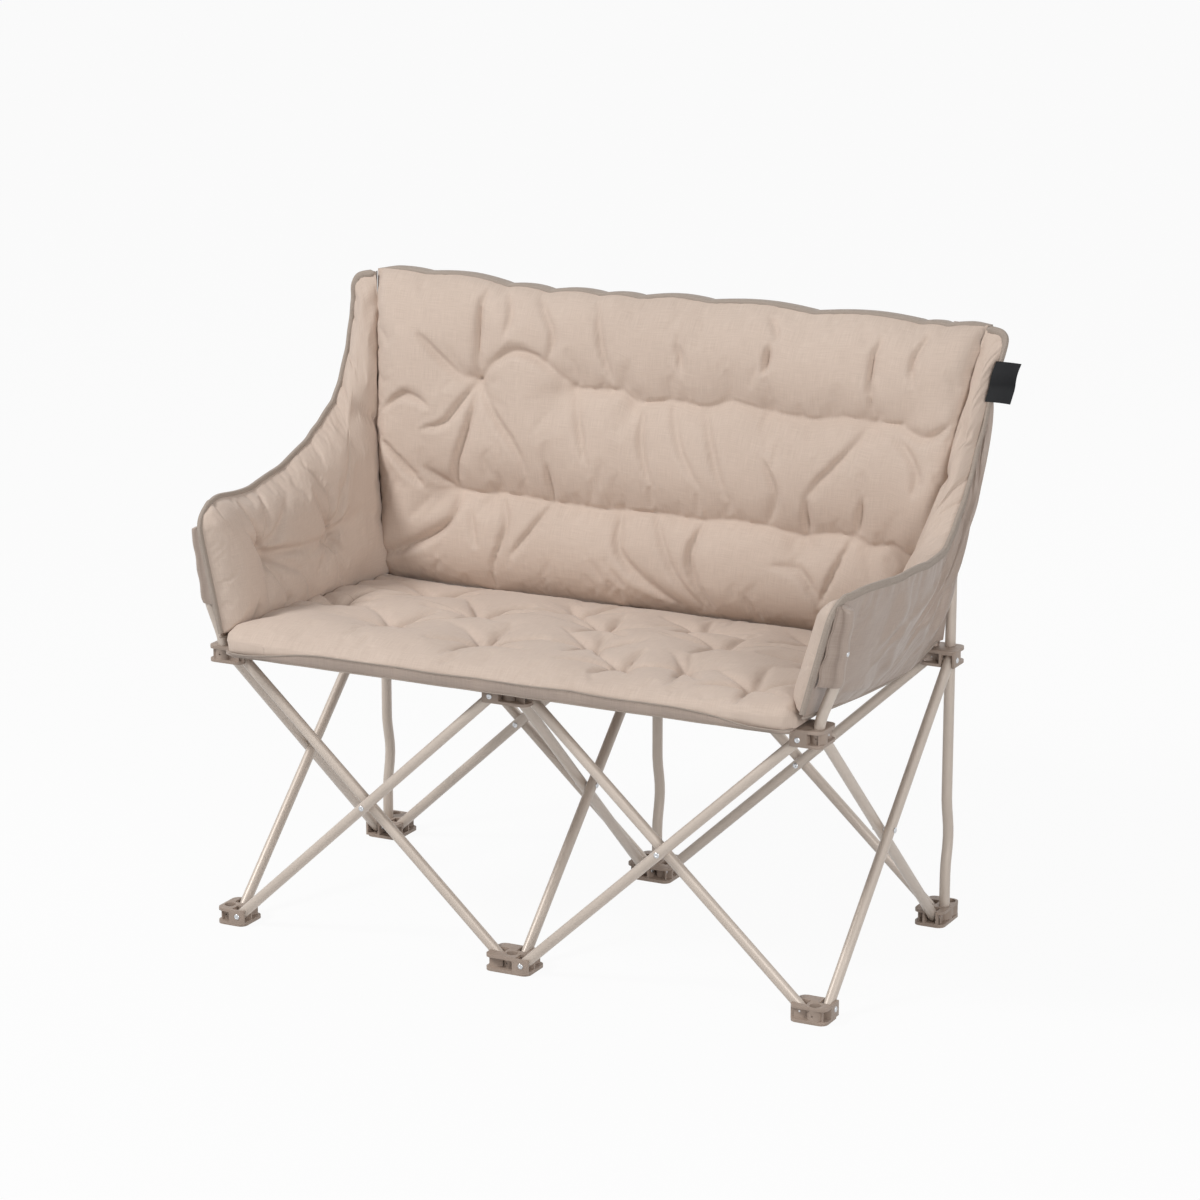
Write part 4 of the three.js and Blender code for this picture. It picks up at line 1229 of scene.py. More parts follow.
near_side = np.exp(-side_gap / side_reach) * ease(seat_y, seat_front, seat_front + side_start)
top_z = top_z + side_puff * between(side_pinches, seat_y) * near_side
seat_start = np.stack([middle_x + seat_x, middle_y + seat_face_y, top_z], -1)
seat_face = finer(puff(seat_start, held, growth=0.034, bend=0.4, cap=0.014, seed=23))
fine_spots = np.moveaxis(finer(np.stack([seat_x, seat_y, filling], -1)), -1, 0)
seat_face[..., 2] += fold_in(0, folds, crease_share * star_depth, crease_width * star_width, fine_spots)
seat_floor_y = middle_y + seat_y + corner_draw(seat_x, seat_y)
seat_floor = np.stack([middle_x + seat_x, seat_floor_y, sling_height(seat_y) + pad_lift], -1)
split = seat_rows[0]
for half, rows in (("front", slice(0, split + 1)), ("rear", slice(split, None))):
    fine_rows = slice(2 * rows.start, (2 * rows.stop - 1) if rows.stop else None)
    face = seat_face[fine_rows].copy()
    base = finer(seat_floor)[fine_rows][::4, ::4].copy()
    edge = -1 if half == "front" else 0
    shift = -half_gap if half == "front" else half_gap
    face[edge, :, 1] += shift
    base[edge, :, 1] += shift
    piece = envelope(f"seat_quilt_{half}", face, base, quilt_cloth, shell_cloth)
    # At the two ends of the front edge the quilt's own cloth turns down over the corner
    for strip in piece.data.polygons:
        x, y, _ = strip.center
        if abs(x - middle_x) > turned_down[0] and y < middle_y + turned_down[1]:
            strip.material_index = 0
    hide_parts(f"seat_pad_{half}")
    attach(piece, body_of[f"seat_pad_{half}"])
    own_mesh(piece)

# Arm quilts. Each is one padded panel that stands from the seat's side up to the arm's bound edge, and
# whose rear part turns the corner as a narrow padded wing and climbs to the top of the back.
arm_front = 0.268
arm_inset = 0.467
arm_flare = 0.066
arm_feet = (0.456, 0.451, 0.445, 0.439, 0.4345)
arm_base = 0.453
arm_rise = 0.174
wing_rise = 0.278
corner_gap = 0.0008
shell_reach = 0.2291
arm_rear = shell_reach - pad_rear - back_rim - corner_gap
arm_gap = 0.0022
arm_rim = 0.0050
arm_crown = 0.035
wing_crown = 0.029
arm_roll = 0.052
arm_quick_roll = 0.030
arm_quick_part = 0.40
corner_round = 0.028
corner_start = 0.84
corner_reach = 0.16
edge_pinch = 0.55
pinch_reach = 0.012
arm_across = 150
arm_rows = 44
edge_hill = 0.0035
arm_fold_depth = 0.0075
arm_fold_width = 0.0095
arm_press = 0.0028
arm_fill = 1.5
arm_least = 0.0045
arm_tuft_reach = 0.055
arm_tuft_floor = 0.2
corner_span = (0.5, 0.75)
wing_span = (0.5, 0.8)
wing_end = (0.82, 1)
arm_slump = 0.050
arm_top_shares = [
    (0, 0.62, 0.98, 0), (0.12, 0.76, 1, 0), (0.32, 0.92, 1, 0), (0.52, 0.98, 1, 0.03), (0.7, 1, 1, 0.09),
    (0.82, 1.03, 1, 0.2), (0.92, 1.1, 1, 0.34), (0.98, 1.17, 1, 0.56), (1, 1.22, 1, 0.8), (1, 1.18, 1, 0.96),
    (1, 0.68, 1, 1.0),
]
slump_shares = {
    "left": [-0.2, -0.2, 0, 0, -0.12, -0.12, 0, 0, 0, 0, 0],
    "right": [0.22, 0.22, 0.28, 0.5, 0.86, 1, 0.85, 0.6, 0.2, 0, 0],
}
draw_shares = {
    "left": [0, 0, 0, 0, 0, 0.02, 0.05, 0.08, 0.1, 0.06, 0],
    "right": [0, 0, 0, 0, 0.06, 0.16, 0.27, 0.32, 0.22, 0.06, 0],
}
edge_valley_shares = [0, 0.06, 0.23, 0.33, 0.43, 0.49, 0.58, 0.63, 0.71, 0.78, 0.83, 0.9, 0.96, 1]
arm_tuft_shares = [(0.205, 0.525), (0.54, 0.345)]
wing_fold_shares = [
    [(0.205, 0.525), (0.38, 0.44), (0.54, 0.345)], [(0.54, 0.345), (0.78, 0.3), (0.95, 0.2)],
    [(0.205, 0.525), (0.17, 0.8), (0.16, 0.95)], [(0.205, 0.525), (0.27, 0.75), (0.3, 0.88)],
    [(0.205, 0.525), (0.34, 0.3), (0.42, 0.1)], [(0.54, 0.345), (0.6, 0.2), (0.72, 0.05)],
    [(0.54, 0.345), (0.56, 0.6), (0.62, 0.8)], [(1.0, 0.5), (0.88, 0.56), (0.8, 0.66)],
    [(0.71, 1.0), (0.76, 0.84)], [(0.3, 0.0), (0.31, 0.14)], [(0.12, 0.0), (0.13, 0.16)],
]


def arm_edge(u, side):
    """The bound edge of an arm, drawn up between the places where its binding puckers."""
    u = np.asarray(u, float)
    back_share, out, arm, wing = (curve([row[k] for row in arm_top_shares], u) for k in range(4))
    side_name = "right" if side > 0 else "left"
    slump = curve(slump_shares[side_name], u)
    out = out - curve(draw_shares[side_name], u)
    z = arm_base + arm_rise * arm + wing_rise * wing - arm_slump * slump
    y = -arm_front + (arm_rear + post_lean(z) + arm_front) * back_share
    return np.stack([arm_inset + arm_flare * out, y, z], -1)


def arm_face(u, v, depth, feet=arm_feet, side=1):
    """A point of an arm panel: along it, up it, and in from its middle layer towards the sitter."""
    u, v = np.broadcast_arrays(np.asarray(u, float), np.asarray(v, float))
    foot = curve(feet, u)
    top = arm_edge(u, side)
    step = 0.004
    run = arm_edge(np.minimum(u + step, 1), side) - arm_edge(np.maximum(u - step, 0), side)
    run /= np.linalg.norm(run, axis=-1, keepdims=True)
    hill = edge_hill * between(edge_valley_shares, u) * v ** 14
    base = np.stack([np.full(u.shape, arm_inset), -arm_front + (arm_rear + arm_front) * u, foot], -1)
    point = base + (top - base) * v[..., None]
    point[..., 1] -= hill * run[..., 2]
    point[..., 2] += hill * run[..., 1]
    point[..., 1] = np.minimum(point[..., 1], arm_rear + post_lean(point[..., 2]))
    bend = np.clip((v - corner_start) / (1 - corner_start), 0, 0.999)
    point[..., 1] += corner_round * (1 - np.sqrt(1 - bend ** 2)) * np.clip(1 - u / corner_reach, 0, 1)
    turn = ease(u, *corner_span) * (1 - ease(u, *wing_end))
    size = np.sqrt(1 + turn ** 2)
    bound_gap = np.minimum((1 - v) * arm_rise, u * 2 * arm_front)
    depth = depth * (1 - edge_pinch * np.exp(-bound_gap / pinch_reach))
    point[..., 0] -= depth / size
    point[..., 1] -= depth * turn / size
    point[..., 1] = np.minimum(point[..., 1], arm_rear + corner_gap / 2 + post_lean(point[..., 2]))
    point = point * (side, 1, 1) + (middle_x, middle_y, 0)
    point[..., 0] += pulled(point[..., 2])
    return point


arm_u, arm_v = np.meshgrid(np.linspace(0, 1, arm_across + 1), np.linspace(0, 1, arm_rows + 1))
flat_arm = arm_face(arm_u, arm_v, arm_gap)
along = np.concatenate([np.zeros((arm_rows + 1, 1)),
                        np.cumsum(np.linalg.norm(np.diff(flat_arm, axis=1), axis=2), axis=1)], 1)
rise = np.concatenate([np.zeros((1, arm_across + 1)),
                       np.cumsum(np.linalg.norm(np.diff(flat_arm, axis=0), axis=2), axis=0)])


def drawn(line):
    """Shares along and up the panel, as distances over its cloth."""
    spots = [(round(a * arm_across), round(b * arm_rows)) for a, b in line]
    return [(along[j, i], rise[j, i]) for i, j in spots]


rim_gap = np.minimum(np.minimum(along, along[:, -1:] - along), np.minimum(rise, rise[-1:] - rise))
arm_quilts = {}
for side_name, side in (("left", -1), ("right", 1)):
    filling = arm_quick_part * swell(rim_gap, arm_quick_roll)
    filling = filling + (1 - arm_quick_part) * swell(rim_gap, arm_roll)
    held = rim_gap < 1e-6
    folds = [drawn(line) for line in wing_fold_shares]
    for number, spot in enumerate(arm_tuft_shares):
        tuft = drawn([spot])[0]
        gap = gap_to([tuft], along, rise)
        filling = filling * (arm_tuft_floor + (1 - arm_tuft_floor) * swell(gap, arm_tuft_reach))
        held |= gap < tuft_radius
        folds += star(tuft, 7, 70 + number + 5 * side)
    crown = arm_crown + (wing_crown - arm_crown) * ease(arm_u, *wing_span)
    thickness = arm_rim + (crown - arm_rim) * filling
    spots = (along, rise, np.clip(filling * arm_fill, 0, 1))
    thickness = fold_in(thickness, folds, arm_fold_depth, arm_fold_width, spots)
    start_face = arm_face(arm_u, arm_v, arm_gap + np.maximum(thickness, arm_least), side=side)
    if side > 0:
        start_face = start_face[:, ::-1]
        held = held[:, ::-1]
    face = puff(start_face, held, growth=0.035, bend=0.4, cap=0.012, seed=31 + side)
    if side > 0:
        face = face[:, ::-1]
    fine = finer(face)
    fine_spots = np.moveaxis(finer(np.stack(spots, -1)), -1, 0)
    pressed = fold_in(0, folds, crease_share * arm_fold_depth, crease_width * arm_fold_width, fine_spots)
    pressed = np.maximum(pressed, -arm_press)
    fine[..., 0] -= side * pressed * (1 - ease(finer(arm_u[..., None])[..., 0], *corner_span))
    base = finer(arm_face(arm_u, arm_v, arm_gap, side=side))[::4, ::4]
    piece = envelope(f"arm_quilt_{side_name}", fine, base, quilt_cloth)
    arm_quilts[side_name] = piece
    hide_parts(f"arm_pad_{side_name}")


def gather(piece):
    """Bakes a piece's place into its mesh."""
    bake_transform(piece)


for side_name, piece in arm_quilts.items():
    gather(piece)

# Outer shells. The coated shell cloth lies behind the quilts, one panel behind the back and one outside each
# arm, sewn together round the rear corners. It hangs in long soft creases from the posts' pockets.
shell_wall = 0.0012
hem_feet = (0.450, 0.438, 0.428, 0.424, 0.440)
shell_depth = -0.0014
gusset_out = 0.004
gusset_bulge = 0.010
ridge_height = 0.009
ridge_width = 0.022
ridge_sharp = 0.0045
pocket_u = 0.06
pocket_reach = 0.07
post_places = (-0.480, 0, 0.480)
post_hold = 0.022
post_clear = 0.05
rear_drop = 0.002
rear_inset = 0.001
rear_gap = 0.0004


def cloth_sheet(name, face, material, wall=shell_wall):
    """A sheet of cloth: its outer face over a grid, given a thin wall behind it."""
    rows, cols = face.shape[:2]
    mesh = bpy.data.meshes.new(name)
    index = np.arange(rows * cols).reshape(rows, cols)
    mesh.from_pydata(face.reshape(-1, 3).tolist(), [], quads(index))
    lay_cloth(mesh, face)
    mesh.materials.append(material)
    piece = keep(name, mesh)
    step = piece.modifiers.new("wall", "SOLIDIFY")
    step.thickness = wall
    step.offset = -1
    solid_mesh = finished(piece)
    piece.modifiers.clear()
    piece.data = solid_mesh
    solid_mesh.shade_smooth()
    solid_mesh.set_sharp_from_angle(angle=math.radians(60))
    return piece


shell_u = np.concatenate([np.linspace(0, 1, 111), 1 + np.linspace(0, 1, 6)[1:]])
shell_v = np.linspace(0, 1, 45)
side_u, side_v = np.meshgrid(shell_u, shell_v)
shell_folds = [
    [(0.95, 0.85), (0.80, 0.55), (0.72, 0.25)], [(0.98, 0.60), (0.86, 0.38), (0.78, 0.12)],
    [(0.80, 0.90), (0.62, 0.60), (0.50, 0.25)], [(0.62, 0.92), (0.48, 0.70), (0.40, 0.45)],
    [(0.45, 0.88), (0.33, 0.62), (0.26, 0.30)], [(0.30, 0.55), (0.36, 0.30), (0.48, 0.12)],
    [(0.55, 0.45), (0.62, 0.25), (0.75, 0.10)], [(0.98, 0.35), (0.85, 0.20), (0.70, 0.08)],
    [(0.24, 0.90), (0.27, 0.70), (0.24, 0.50)], [(0.18, 0.15), (0.30, 0.12), (0.45, 0.06)],
]


def shell_ridges(u, v, height, width):
    """The creases of an arm's shell over its face, none of them near the pocket of the post."""
    wave = np.zeros(u.shape)
    for line in shell_folds:
        drawn_fold = rounded([(a * 2 * arm_front, b * arm_rise) for a, b in line])
        wave += spindle(drawn_fold, width, u * 2 * arm_front, v * arm_rise)
    return height * wave * ease(np.abs(u - pocket_u), pocket_reach, 2 * pocket_reach)


for side_name, side in (("left", -1), ("right", 1)):
    inner_u = np.minimum(side_u, 1)
    outer = arm_face(inner_u, side_v, shell_depth, feet=hem_feet, side=side)
    gusset = np.clip(side_u - 1, 0, 1)
    z = outer[..., 2]
    outer[..., 0] += (middle_x + pulled(z) + side * (back_half(z) + gusset_out) - outer[..., 0]) * gusset
    outer[..., 0] += side * gusset_bulge * np.sin(np.pi * gusset) * np.sin(np.pi * side_v)
    outer[..., 1] += (middle_y + shell_reach + post_lean(z) - outer[..., 1]) * gusset
    held = np.zeros(side_u.shape, bool)
    held[[0, -1]] = True
    held[:, [0, -1]] = True
    held |= side_u > 0.999
    held |= np.abs(side_u - pocket_u) < pocket_reach
    outer[..., 0] += shell_ridges(side_u, side_v, side * ridge_height, ridge_width) * (1 - gusset)
    if side < 0:
        outer = outer[:, ::-1]
        held = held[:, ::-1]
    face = finer(puff(outer, held, growth=0.032, bend=0.6, cap=0.013, seed=51 + side, push=2.5))
    fine_u, fine_v = np.moveaxis(finer(np.stack([side_u, side_v], -1)[:, ::side]), -1, 0)
    sharp = shell_ridges(fine_u, fine_v, side * ridge_sharp, crease_width * ridge_width)
    face[..., 0] += sharp * np.clip(2 - fine_u, 0, 1)
    piece = cloth_sheet(f"outer_shell_{side_name}", face, shell_cloth)
    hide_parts(f"side_shell_{side_name}")
    gather(piece)

rear_folds = [
    [(-440, 870), (-380, 760), (-300, 690)], [(-60, 880), (-130, 800), (-220, 760)],
    [(-440, 560), (-340, 540), (-240, 470)], [(-50, 640), (-140, 600), (-200, 520)],
    [(-380, 700), (-260, 640), (-120, 650)], [(60, 860), (120, 760), (230, 700)],
    [(440, 850), (350, 800), (270, 780)], [(430, 640), (330, 600), (240, 520)],
    [(50, 560), (150, 530), (220, 460)], [(400, 720), (280, 660), (150, 640)],
    [(-250, 890), (-270, 830), (-260, 770)], [(250, 890), (240, 840), (270, 790)],
]
rear_u, rear_v = np.meshgrid(np.linspace(-1, 1, 97), np.linspace(0, 1, 49))
rear_z = back_bottom - rear_drop + rear_v * (hills(rear_u * back_half_top, top_valleys) - back_bottom)
rear_x = rear_u * (back_half(rear_z) - rear_inset)
rear_start = back_point(rear_x, rear_z, rear_gap)
held = np.zeros(rear_u.shape, bool)
held[[0, -1]] = True
held[:, [0, -1]] = True
post_gap = np.full(rear_x.shape, np.inf)
for x in post_places:
    post_gap = np.minimum(post_gap, np.abs(rear_x - x))
held |= post_gap < post_hold
for line in rear_folds:
    ridge = spindle(rounded(metres(line)), ridge_width, rear_x, rear_z)
    rear_start[..., 1] += ridge_height * ridge * ease(post_gap, post_hold, post_clear)
rear_face = puff(rear_start[:, ::-1], held[:, ::-1], growth=0.032, bend=0.6, cap=0.012, seed=61, push=2.5)
rear_face = finer(rear_face)
fine_x, fine_z, fine_gap = np.moveaxis(finer(np.stack([rear_x, rear_z, post_gap], -1)[:, ::-1]), -1, 0)
for line in rear_folds:
    sharp = spindle(rounded(metres(line)), crease_width * ridge_width, fine_x, fine_z)
    rear_face[..., 1] += ridge_sharp * sharp * ease(fine_gap, post_hold, post_clear)
piece = cloth_sheet("outer_shell_back", rear_face, shell_cloth)
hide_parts("back_shell")
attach(piece, body_of["back_shell"])
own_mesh(piece)

# Seat sling. A doubled sheet of the shell cloth carries the seat from the front edge to the rear, with
# long shallow ripples where it stretches between the hubs.
sling_wall = 0.0024
sling_inset = 0.003
sling_end = 0.008
sling_drop = 0.0008
ripple_height = 0.0006
for half, low, high in (("front", seat_front, -half_gap), ("rear", half_gap, seat_rear - sling_end)):
    u, v = np.meshgrid(np.linspace(-1, 1, 121), np.linspace(0, 1, 37))
    y = low + (high - low) * v
    x = u * (seat_half_at(y) - sling_inset)
    ripple = ripple_height * np.sin(x * 70 + 3 * np.sin(y * 25)) * np.sin(np.pi * v)
    under_z = sling_height(y) + sling_drop + ripple
    under = np.stack([middle_x + x, middle_y + y + corner_draw(x, y), under_z], -1)
    piece = cloth_sheet(f"sling_{half}", under[:, ::-1], shell_cloth, sling_wall)
    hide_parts(f"seat_sling_{half}")
    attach(piece, body_of[f"seat_sling_{half}"])
    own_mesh(piece)

# Stitches. Twisted polyester thread in the cloth's own colour, sewn in straight rows of short raised
# stitches along each tape, band and pocket.
thread_radius = 0.00035
stitch_pitch = 0.0036
stitch_half = 0.00145
thread, tree, shader = finish("sewing thread", (172, 158, 146), 0.7)
tint(tree, shader, noise(tree, scale=900.0, detail=1.0), (150, 136, 124), (190, 176, 163))

sewing, start, end = grow("Stitches along a seam", [("Pitch", "Float"), ("Half length", "Float"),
                                                  ("Radius", "Float"), ("Finish", "Material")])
seam_line = add(sewing, "GeometryNodeMeshToCurve", Mesh=start["Geometry"])
spots = sewing.nodes.new("GeometryNodeCurveToPoints")
spots.mode = "LENGTH"
sewing.links.new(seam_line.outputs[0], spots.inputs["Curve"])
sewing.links.new(start["Pitch"], spots.inputs["Length"])
bead = add(sewing, "GeometryNodeMeshUVSphere", Segments=6, Rings=4, Radius=1.0)
sizes = add(sewing, "ShaderNodeCombineXYZ", X=start["Radius"], Y=start["Radius"], Z=start["Half length"])
drawn_out = add(sewing, "GeometryNodeTransform", Geometry=bead.outputs["Mesh"], Scale=sizes.outputs[0])
laid = add(sewing, "GeometryNodeInstanceOnPoints", Points=spots.outputs["Points"],
           Instance=drawn_out.outputs[0], Rotation=spots.outputs["Rotation"])
real = add(sewing, "GeometryNodeRealizeInstances", Geometry=laid.outputs[0])
painted = add(sewing, "GeometryNodeSetMaterial", Geometry=real.outputs[0], Material=start["Finish"])
sewing.links.new(painted.outputs[0], end["Geometry"])


def stitches(name, path):
    """A row of stitches along a path."""
    values = {"Pitch": stitch_pitch, "Half length": stitch_half, "Radius": thread_radius, "Finish": thread}
    piece = settle(name, line_mesh(path), sewing, values)
    piece.data.shade_smooth()
    return piece


# Bindings. A folded tape of plain woven polyester is sewn over every raw edge: along the top of the back,
# and up the front and along the top of each arm. The filling makes it wavy between its stitches.
tape_cloth, tree, shader = finish("binding tape", (160, 147, 136), 0.8)
shader.inputs["Sheen Weight"].default_value = 0.12
threads, slub = weave(tree, pitch=0.0012, slub_width=0.0009, slub_length=0.02)
tint(tree, shader, slub, (148, 135, 124), (170, 157, 146), low=0.3, high=0.7)
relief(tree, shader, (noise(tree, scale=160.0, detail=4.0), 0.4, 0.0008), (threads, 0.3, 0.0002))
trim_sides = 14
trim_square = 0.6
trim_radius = 0.005
tape_half = 0.0045
tape_past = 0.0022
tape_drop = 0.3
tip_points = 10
tip_least = 0.5
sewn_gap = 0.0001
sewn_drop = 0.35
sewn_start = 4
arm_tape_half = 0.0056
arm_tape_past = 0.0014
arm_sewn_share = 0.5
corner_passes = 14
corner_turned = (0.82, 0.94)
tuck_span = (0.98, 1)
tuck_share = 0.6


def along_unit(path):
    """The direction of a path at each of its points."""
    return unit(np.gradient(path, axis=0))


def soften_path(path, passes):
    """Rounds a path's corners."""
    for _ in range(passes):
        path[1:-1] = (path[:-2] + 2 * path[1:-1] + path[2:]) / 4
    return path


def unit(ways):
    """Directions at their unit length."""
    return ways / np.linalg.norm(ways, axis=1, keepdims=True)


def trim(name, path, across, reach_across, reach_out, material):
    """A tape folded over an edge: a flat rounded section swept along the edge and closed at its ends."""
    run = along_unit(path)
    across = unit(across - run * (across * run).sum(1, keepdims=True))
    out = np.cross(run, across)
    angles = 2 * np.pi * np.arange(trim_sides) / trim_sides
    a = np.sign(np.cos(angles)) * np.abs(np.cos(angles)) ** trim_square
    b = np.sign(np.sin(angles)) * np.abs(np.sin(angles)) ** trim_square
    wide = np.broadcast_to(reach_across, len(path))[:, None, None]
    high = np.broadcast_to(reach_out, len(path))[:, None, None]
    rings = path[:, None] + across[:, None] * a[None, :, None] * wide
    rings = rings + out[:, None] * b[None, :, None] * high
    count = len(path)
    index = np.arange(count * trim_sides).reshape(count, trim_sides)
    looped = np.concatenate([index, index[:, :1]], 1)
    faces = quads(looped) + [index[0, ::-1].tolist(), index[-1].tolist()]
    mesh = bpy.data.meshes.new(name)
    mesh.from_pydata(rings.reshape(-1, 3).tolist(), [], faces)
    distance = np.concatenate([[0], np.cumsum(np.linalg.norm(np.diff(path, axis=0), axis=1))])
    round_way = trim_radius * angles
    turn_out(mesh)
    map_points(mesh, np.stack(np.meshgrid(round_way, distance), -1).reshape(-1, 2))
    mesh.materials.append(material)
    return keep(name, mesh, smooth_below=70)


top_front = back_face[-1]
top_rear = back_point(top_front[:, 0] - middle_x, top_front[:, 2], 0.0)
across = top_front - top_rear
tip_share = np.minimum(np.arange(len(across)), np.arange(len(across))[::-1]) / tip_points
tip = tip_least + (1 - tip_least) * ease(tip_share, 0, 1)
top_reach = (np.linalg.norm(across, axis=1) / 2 + tape_past) * tip
top_path = (top_front + top_rear) / 2 - (0, 0, tape_half * tape_drop)
back_trim = trim("back_binding", top_path, across, top_reach, tape_half * tip, tape_cloth)
sewn_path = top_path + unit(across) * (top_reach[:, None] + sewn_gap)
sewn_path[:, 2] -= tape_half * sewn_drop
back_sewing = stitches("back_binding_stitches", sewn_path[sewn_start:-sewn_start])
for piece in (back_trim, back_sewing):
    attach(piece, body_of["back_pad"])
    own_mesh(piece)

edge_u = np.concatenate([np.zeros(60), np.linspace(0, 1, 241)])
edge_v = np.concatenate([np.linspace(0, 1, 61)[:-1], np.ones(241)])
for side_name, side in (("left", -1), ("right", 1)):
    inner = arm_face(edge_u, edge_v, arm_gap + arm_rim, side=side)
    outer = arm_face(edge_u, edge_v, shell_depth - shell_wall, side=side)
    path = soften_path((inner + outer) / 2, corner_passes)
    across = inner - outer
    reach = np.linalg.norm(across, axis=1) / 2 + arm_tape_past
    corner_turn = ease(edge_u, *corner_turned)[:, None]
    tucked = 1 - tuck_share * ease(edge_u, *tuck_span)
    across = unit(across) * (1 - corner_turn) + (0, -1, 0) * corner_turn
    piece = trim(f"arm_binding_{side_name}", path, across, reach, arm_tape_half * tucked, tape_cloth)
    inward = np.cross(along_unit(path), unit(across))
    inward *= -np.sign((inward * (path - path.mean(0))).sum()) or 1
    sewing_rows = []
    for k, sign in enumerate((1, -1)):
        row = path + unit(across) * sign * (reach[:, None] + sewn_gap)
        row = row + inward * arm_tape_half * arm_sewn_share
        sewing_rows.append(stitches(f"arm_binding_stitches_{side_name}_{k}", row[sewn_start:-sewn_start]))
    for part_piece in (piece, *sewing_rows):
        gather(part_piece)

# Front band. Below the seat's front edge a strip of the shell cloth joins the quilt to the sling, with a
# thin corded seam along its top and another along its bottom.
band_low = hub_top - 0.0015
band_height = 0.0215
band_taper = (0.27, 0.43)
band_least = 0.22
band_bulge = 0.0012
band_inset = 0.004
band_gap = 0.0014
band_puff = 0.004
band_wave = 0.0006
band_wall = 0.0010
band_sewn = 0.0004
cord_radius = 0.0011
u, v = np.meshgrid(np.linspace(-1, 1, 241), np.linspace(0, 1, 9))
edge_x = u * (seat_half - band_inset)
full = 1 - (1 - band_least) * ease(np.abs(edge_x), *band_taper)
band_z = band_low + (band_height * full + np.interp(edge_x, pinch_x, pinch_z)) * v
wave = band_wave * np.sin(edge_x * 60 + 2 * np.sin(edge_x * 17))
edge_puff = band_puff * np.interp(edge_x, seat_x[0], puffs) * v
band_y = seat_front - band_gap - edge_puff - band_bulge * np.sin(np.pi * v) + wave
band_y = band_y + corner_draw(edge_x, seat_front)
band = np.stack([middle_x + edge_x, middle_y + band_y, band_z], -1)
piece = cloth_sheet("front_band", band, shell_cloth, band_wall)
cords = [tube(f"front_band_cord_{k}", row[::4], cord_radius, tape_cloth, sides=10)
         for k, row in enumerate((band[0], band[-1]))]
rows = [stitches(f"front_band_stitches_{k}", band[j] - (0, band_sewn, 0)) for k, j in enumerate((1, 7))]
for part_piece in (piece, *cords, *rows):
    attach(part_piece, body_of["seat_pad_front"])
    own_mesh(part_piece)

# Corded hems. The lower edge of each outer arm shell is closed by a thin cord, wrapped in folded tape and
# sewn to the cloth.
hem_radius = 0.0022
for side_name, side in (("left", -1), ("right", 1)):
    u = np.linspace(0, 1, 91)
    hem = arm_face(u, np.zeros(u.shape), shell_depth, feet=hem_feet, side=side)
    piece = tube(f"shell_hem_{side_name}", hem, hem_radius, tape_cloth, sides=10)
    gather(piece)

# Post pockets. A strip of the shell cloth is sewn over each post top, with a flat flange on both sides of
# the tube, so that the posts carry the cloth. Each is open at its foot and closed above.
pocket_flange = 0.021
pocket_bend = 0.0125
pocket_radius = tube_radius + 0.0015
pocket_wall = 0.0010
pocket_steps = 44
pocket_crown = 0.009
pocket_flat = 0.12
pocket_lift = 0.0012
pocket_crinkle = 0.0007
pocket_sewn = 0.0006
seat_gap = 0.0094
flange_step = 0.003
flange_lift = 0.0006
back_pocket_span = (0.648, 0.9075)
arm_pocket_span = (0.492, 0.610)
arm_pocket_u = 0.055
arm_cloth_foot = 0.46
arm_cloth_rise = 0.166
arm_cloth_gap = 0.0018
arm_cloth_reach = 0.006
rivet_height = 0.541
rivet_gap = 0.0006


def pocket(centre, behind, sideways):
    """A pocket round a post, sewn at both sides to the cloth that lies seat_gap back from the post's axis."""
    arc = np.radians(np.linspace(200, -20, 25))
    flange = [(pocket_bend, -seat_gap + flange_lift), (pocket_bend + flange_step, -seat_gap),
              (pocket_flange, -seat_gap)]
    section = [(-x, y) for x, y in reversed(flange)]
    section += [(pocket_radius * math.cos(a), pocket_radius * math.sin(a)) for a in arc]
    section = np.array(section + flange)
    top = np.linalg.norm(centre - centre[-1], axis=1)
    flat = ease(top, 0, pocket_crown)
    crinkle = pocket_crinkle * np.sin(np.linspace(0, 19, len(centre))) * flat
    fullness = pocket_flat + (1 - pocket_flat) * flat
    offset = -seat_gap + pocket_lift + (section[None, :, 1] + seat_gap) * fullness[:, None] + crinkle[:, None]
    return centre[:, None] + sideways * section[None, :, :1] + behind * offset[..., None]


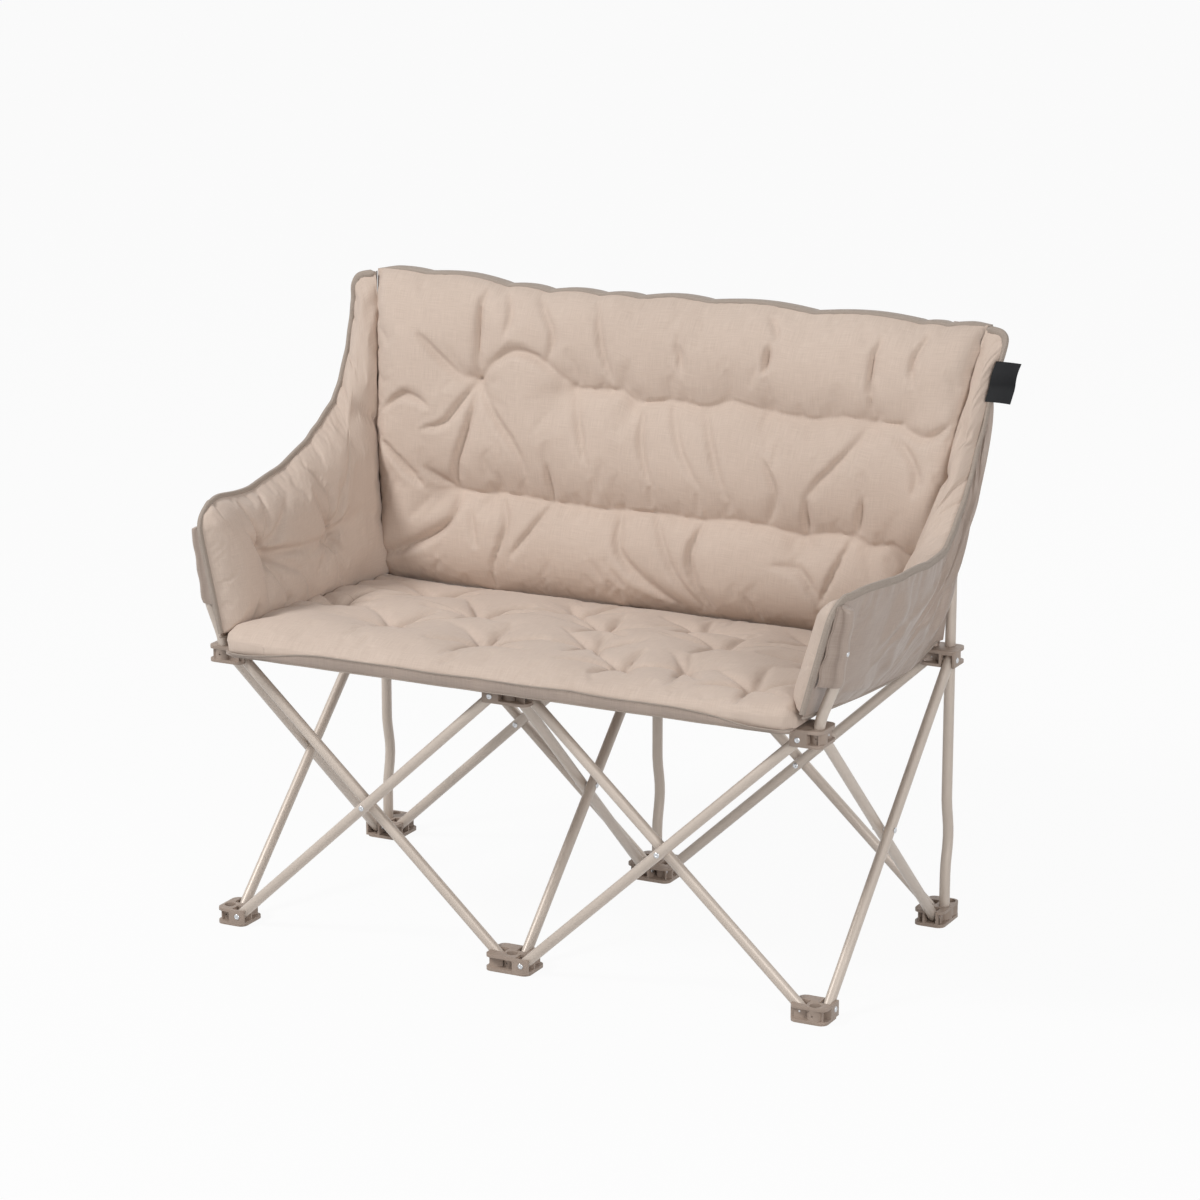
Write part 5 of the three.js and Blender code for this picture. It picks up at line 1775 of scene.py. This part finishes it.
for column in ("left", "middle", "right"):
    heights = np.linspace(*back_pocket_span, pocket_steps)
    centre = np.stack([np.full(pocket_steps, column_x[column]), rear_line + post_lean(heights), heights], -1)
    face = pocket(centre, np.array([0, 1, 0]), np.array([1, 0, 0]))
    piece = cloth_sheet(f"back_pocket_{column}", face[:, ::-1], shell_cloth, pocket_wall)
    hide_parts(f"back_sleeve_{column}")
    rows = [stitches(f"back_pocket_stitches_{column}_{k}", face[2:-1, j] + (0, pocket_sewn, 0))
            for k, j in enumerate((1, -2))]
    for part_piece in (piece, *rows):
        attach(part_piece, body_of[f"back_sleeve_{column}"])
for side_name, side in (("left", -1), ("right", 1)):
    heights = np.linspace(*arm_pocket_span, pocket_steps)
    x = column_x[side_name] + side * arm_shift(heights)
    centre = np.stack([x, np.full(pocket_steps, front_line), heights], -1)
    shares = np.clip((heights - arm_cloth_foot) / arm_cloth_rise, 0, 1)
    shell_x = arm_face(np.full(pocket_steps, arm_pocket_u), shares, shell_depth, side=side)[:, 0]
    face = pocket(centre, np.array([side, 0, 0]), np.array([0, -side, 0]))
    toward = shell_x + side * arm_cloth_gap - face[:, 0, 0]
    behind = side * (face[..., 0] - centre[:, None, 0]) + seat_gap
    weight = np.clip(1 - np.abs(behind) / arm_cloth_reach, 0, 1)
    face[..., 0] += weight * toward[:, None]
    piece = cloth_sheet(f"arm_pocket_{side_name}", face[:, ::-1], shell_cloth, pocket_wall)
    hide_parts(f"arm_sleeve_{side_name}")
    rows = [stitches(f"arm_pocket_stitches_{side_name}_{k}", face[2:-1, j] + (side * pocket_sewn, 0, 0))
            for k, j in enumerate((1, -2))]
    rivet_out = float(arm_shift(rivet_height)) + pocket_radius + rivet_gap
    spot = Vector((column_x[side_name] + side * rivet_out, front_line, rivet_height))
    head = rivet_head(tube_radius)
    stud_piece = rivets(f"arm_pocket_rivet_{side_name}", [(spot, Vector((side, 0, 0)))], head)
    bpy.data.objects.remove(head)
    for part_piece in (piece, *rows, stud_piece):
        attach(part_piece, body_of[f"arm_sleeve_{side_name}"])

# Label tab. A bare ribbon of black satin, folded double and sewn into the right wing's edge near its top
# corner.
label_cloth, tree, shader = finish("black ribbon", (16, 17, 19), 0.6)
shader.inputs["Specular IOR Level"].default_value = 0.25
threads, slub = weave(tree, pitch=0.0006, slub_width=0.0006, slub_length=0.01)
tint(tree, shader, slub, (13, 14, 16), (21, 22, 25), low=0.3, high=0.7)
relief(tree, shader, (threads, 0.3, 0.0001))
label_low, label_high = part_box("label_tab")
label_curl = 0.0022
label_reach = (0.008, 0.027)
label_rise = 0.012
label_forward = 0.0125
label_slope = 0.003
label_wave = 0.0012
label_wall = 0.0012
u, v = np.meshgrid(np.linspace(0, 1, 17), np.linspace(0, 1, 33))
label_z = label_low.z + label_rise + (label_high.z - label_low.z) * v - label_slope * u
sewn_edge = arm_face(np.linspace(0.6, 0.96, 60), np.ones(60), 0.0, side=1)
sewn_x, sewn_y = (np.interp(label_z, sewn_edge[:, 2], sewn_edge[:, k]) for k in (0, 1))
label_x = sewn_x + tape_half - label_reach[0] + (label_reach[0] + label_reach[1]) * u
label_y = sewn_y - label_forward * (1 - u) + label_curl * np.sin(np.pi * u)
label_y = label_y + label_wave * np.sin(2 * np.pi * v) * u
piece = cloth_sheet("ribbon_tab", np.stack([label_x, label_y, label_z], -1), label_cloth, label_wall)
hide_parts("label_tab")
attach(piece, body_of["label_tab"])
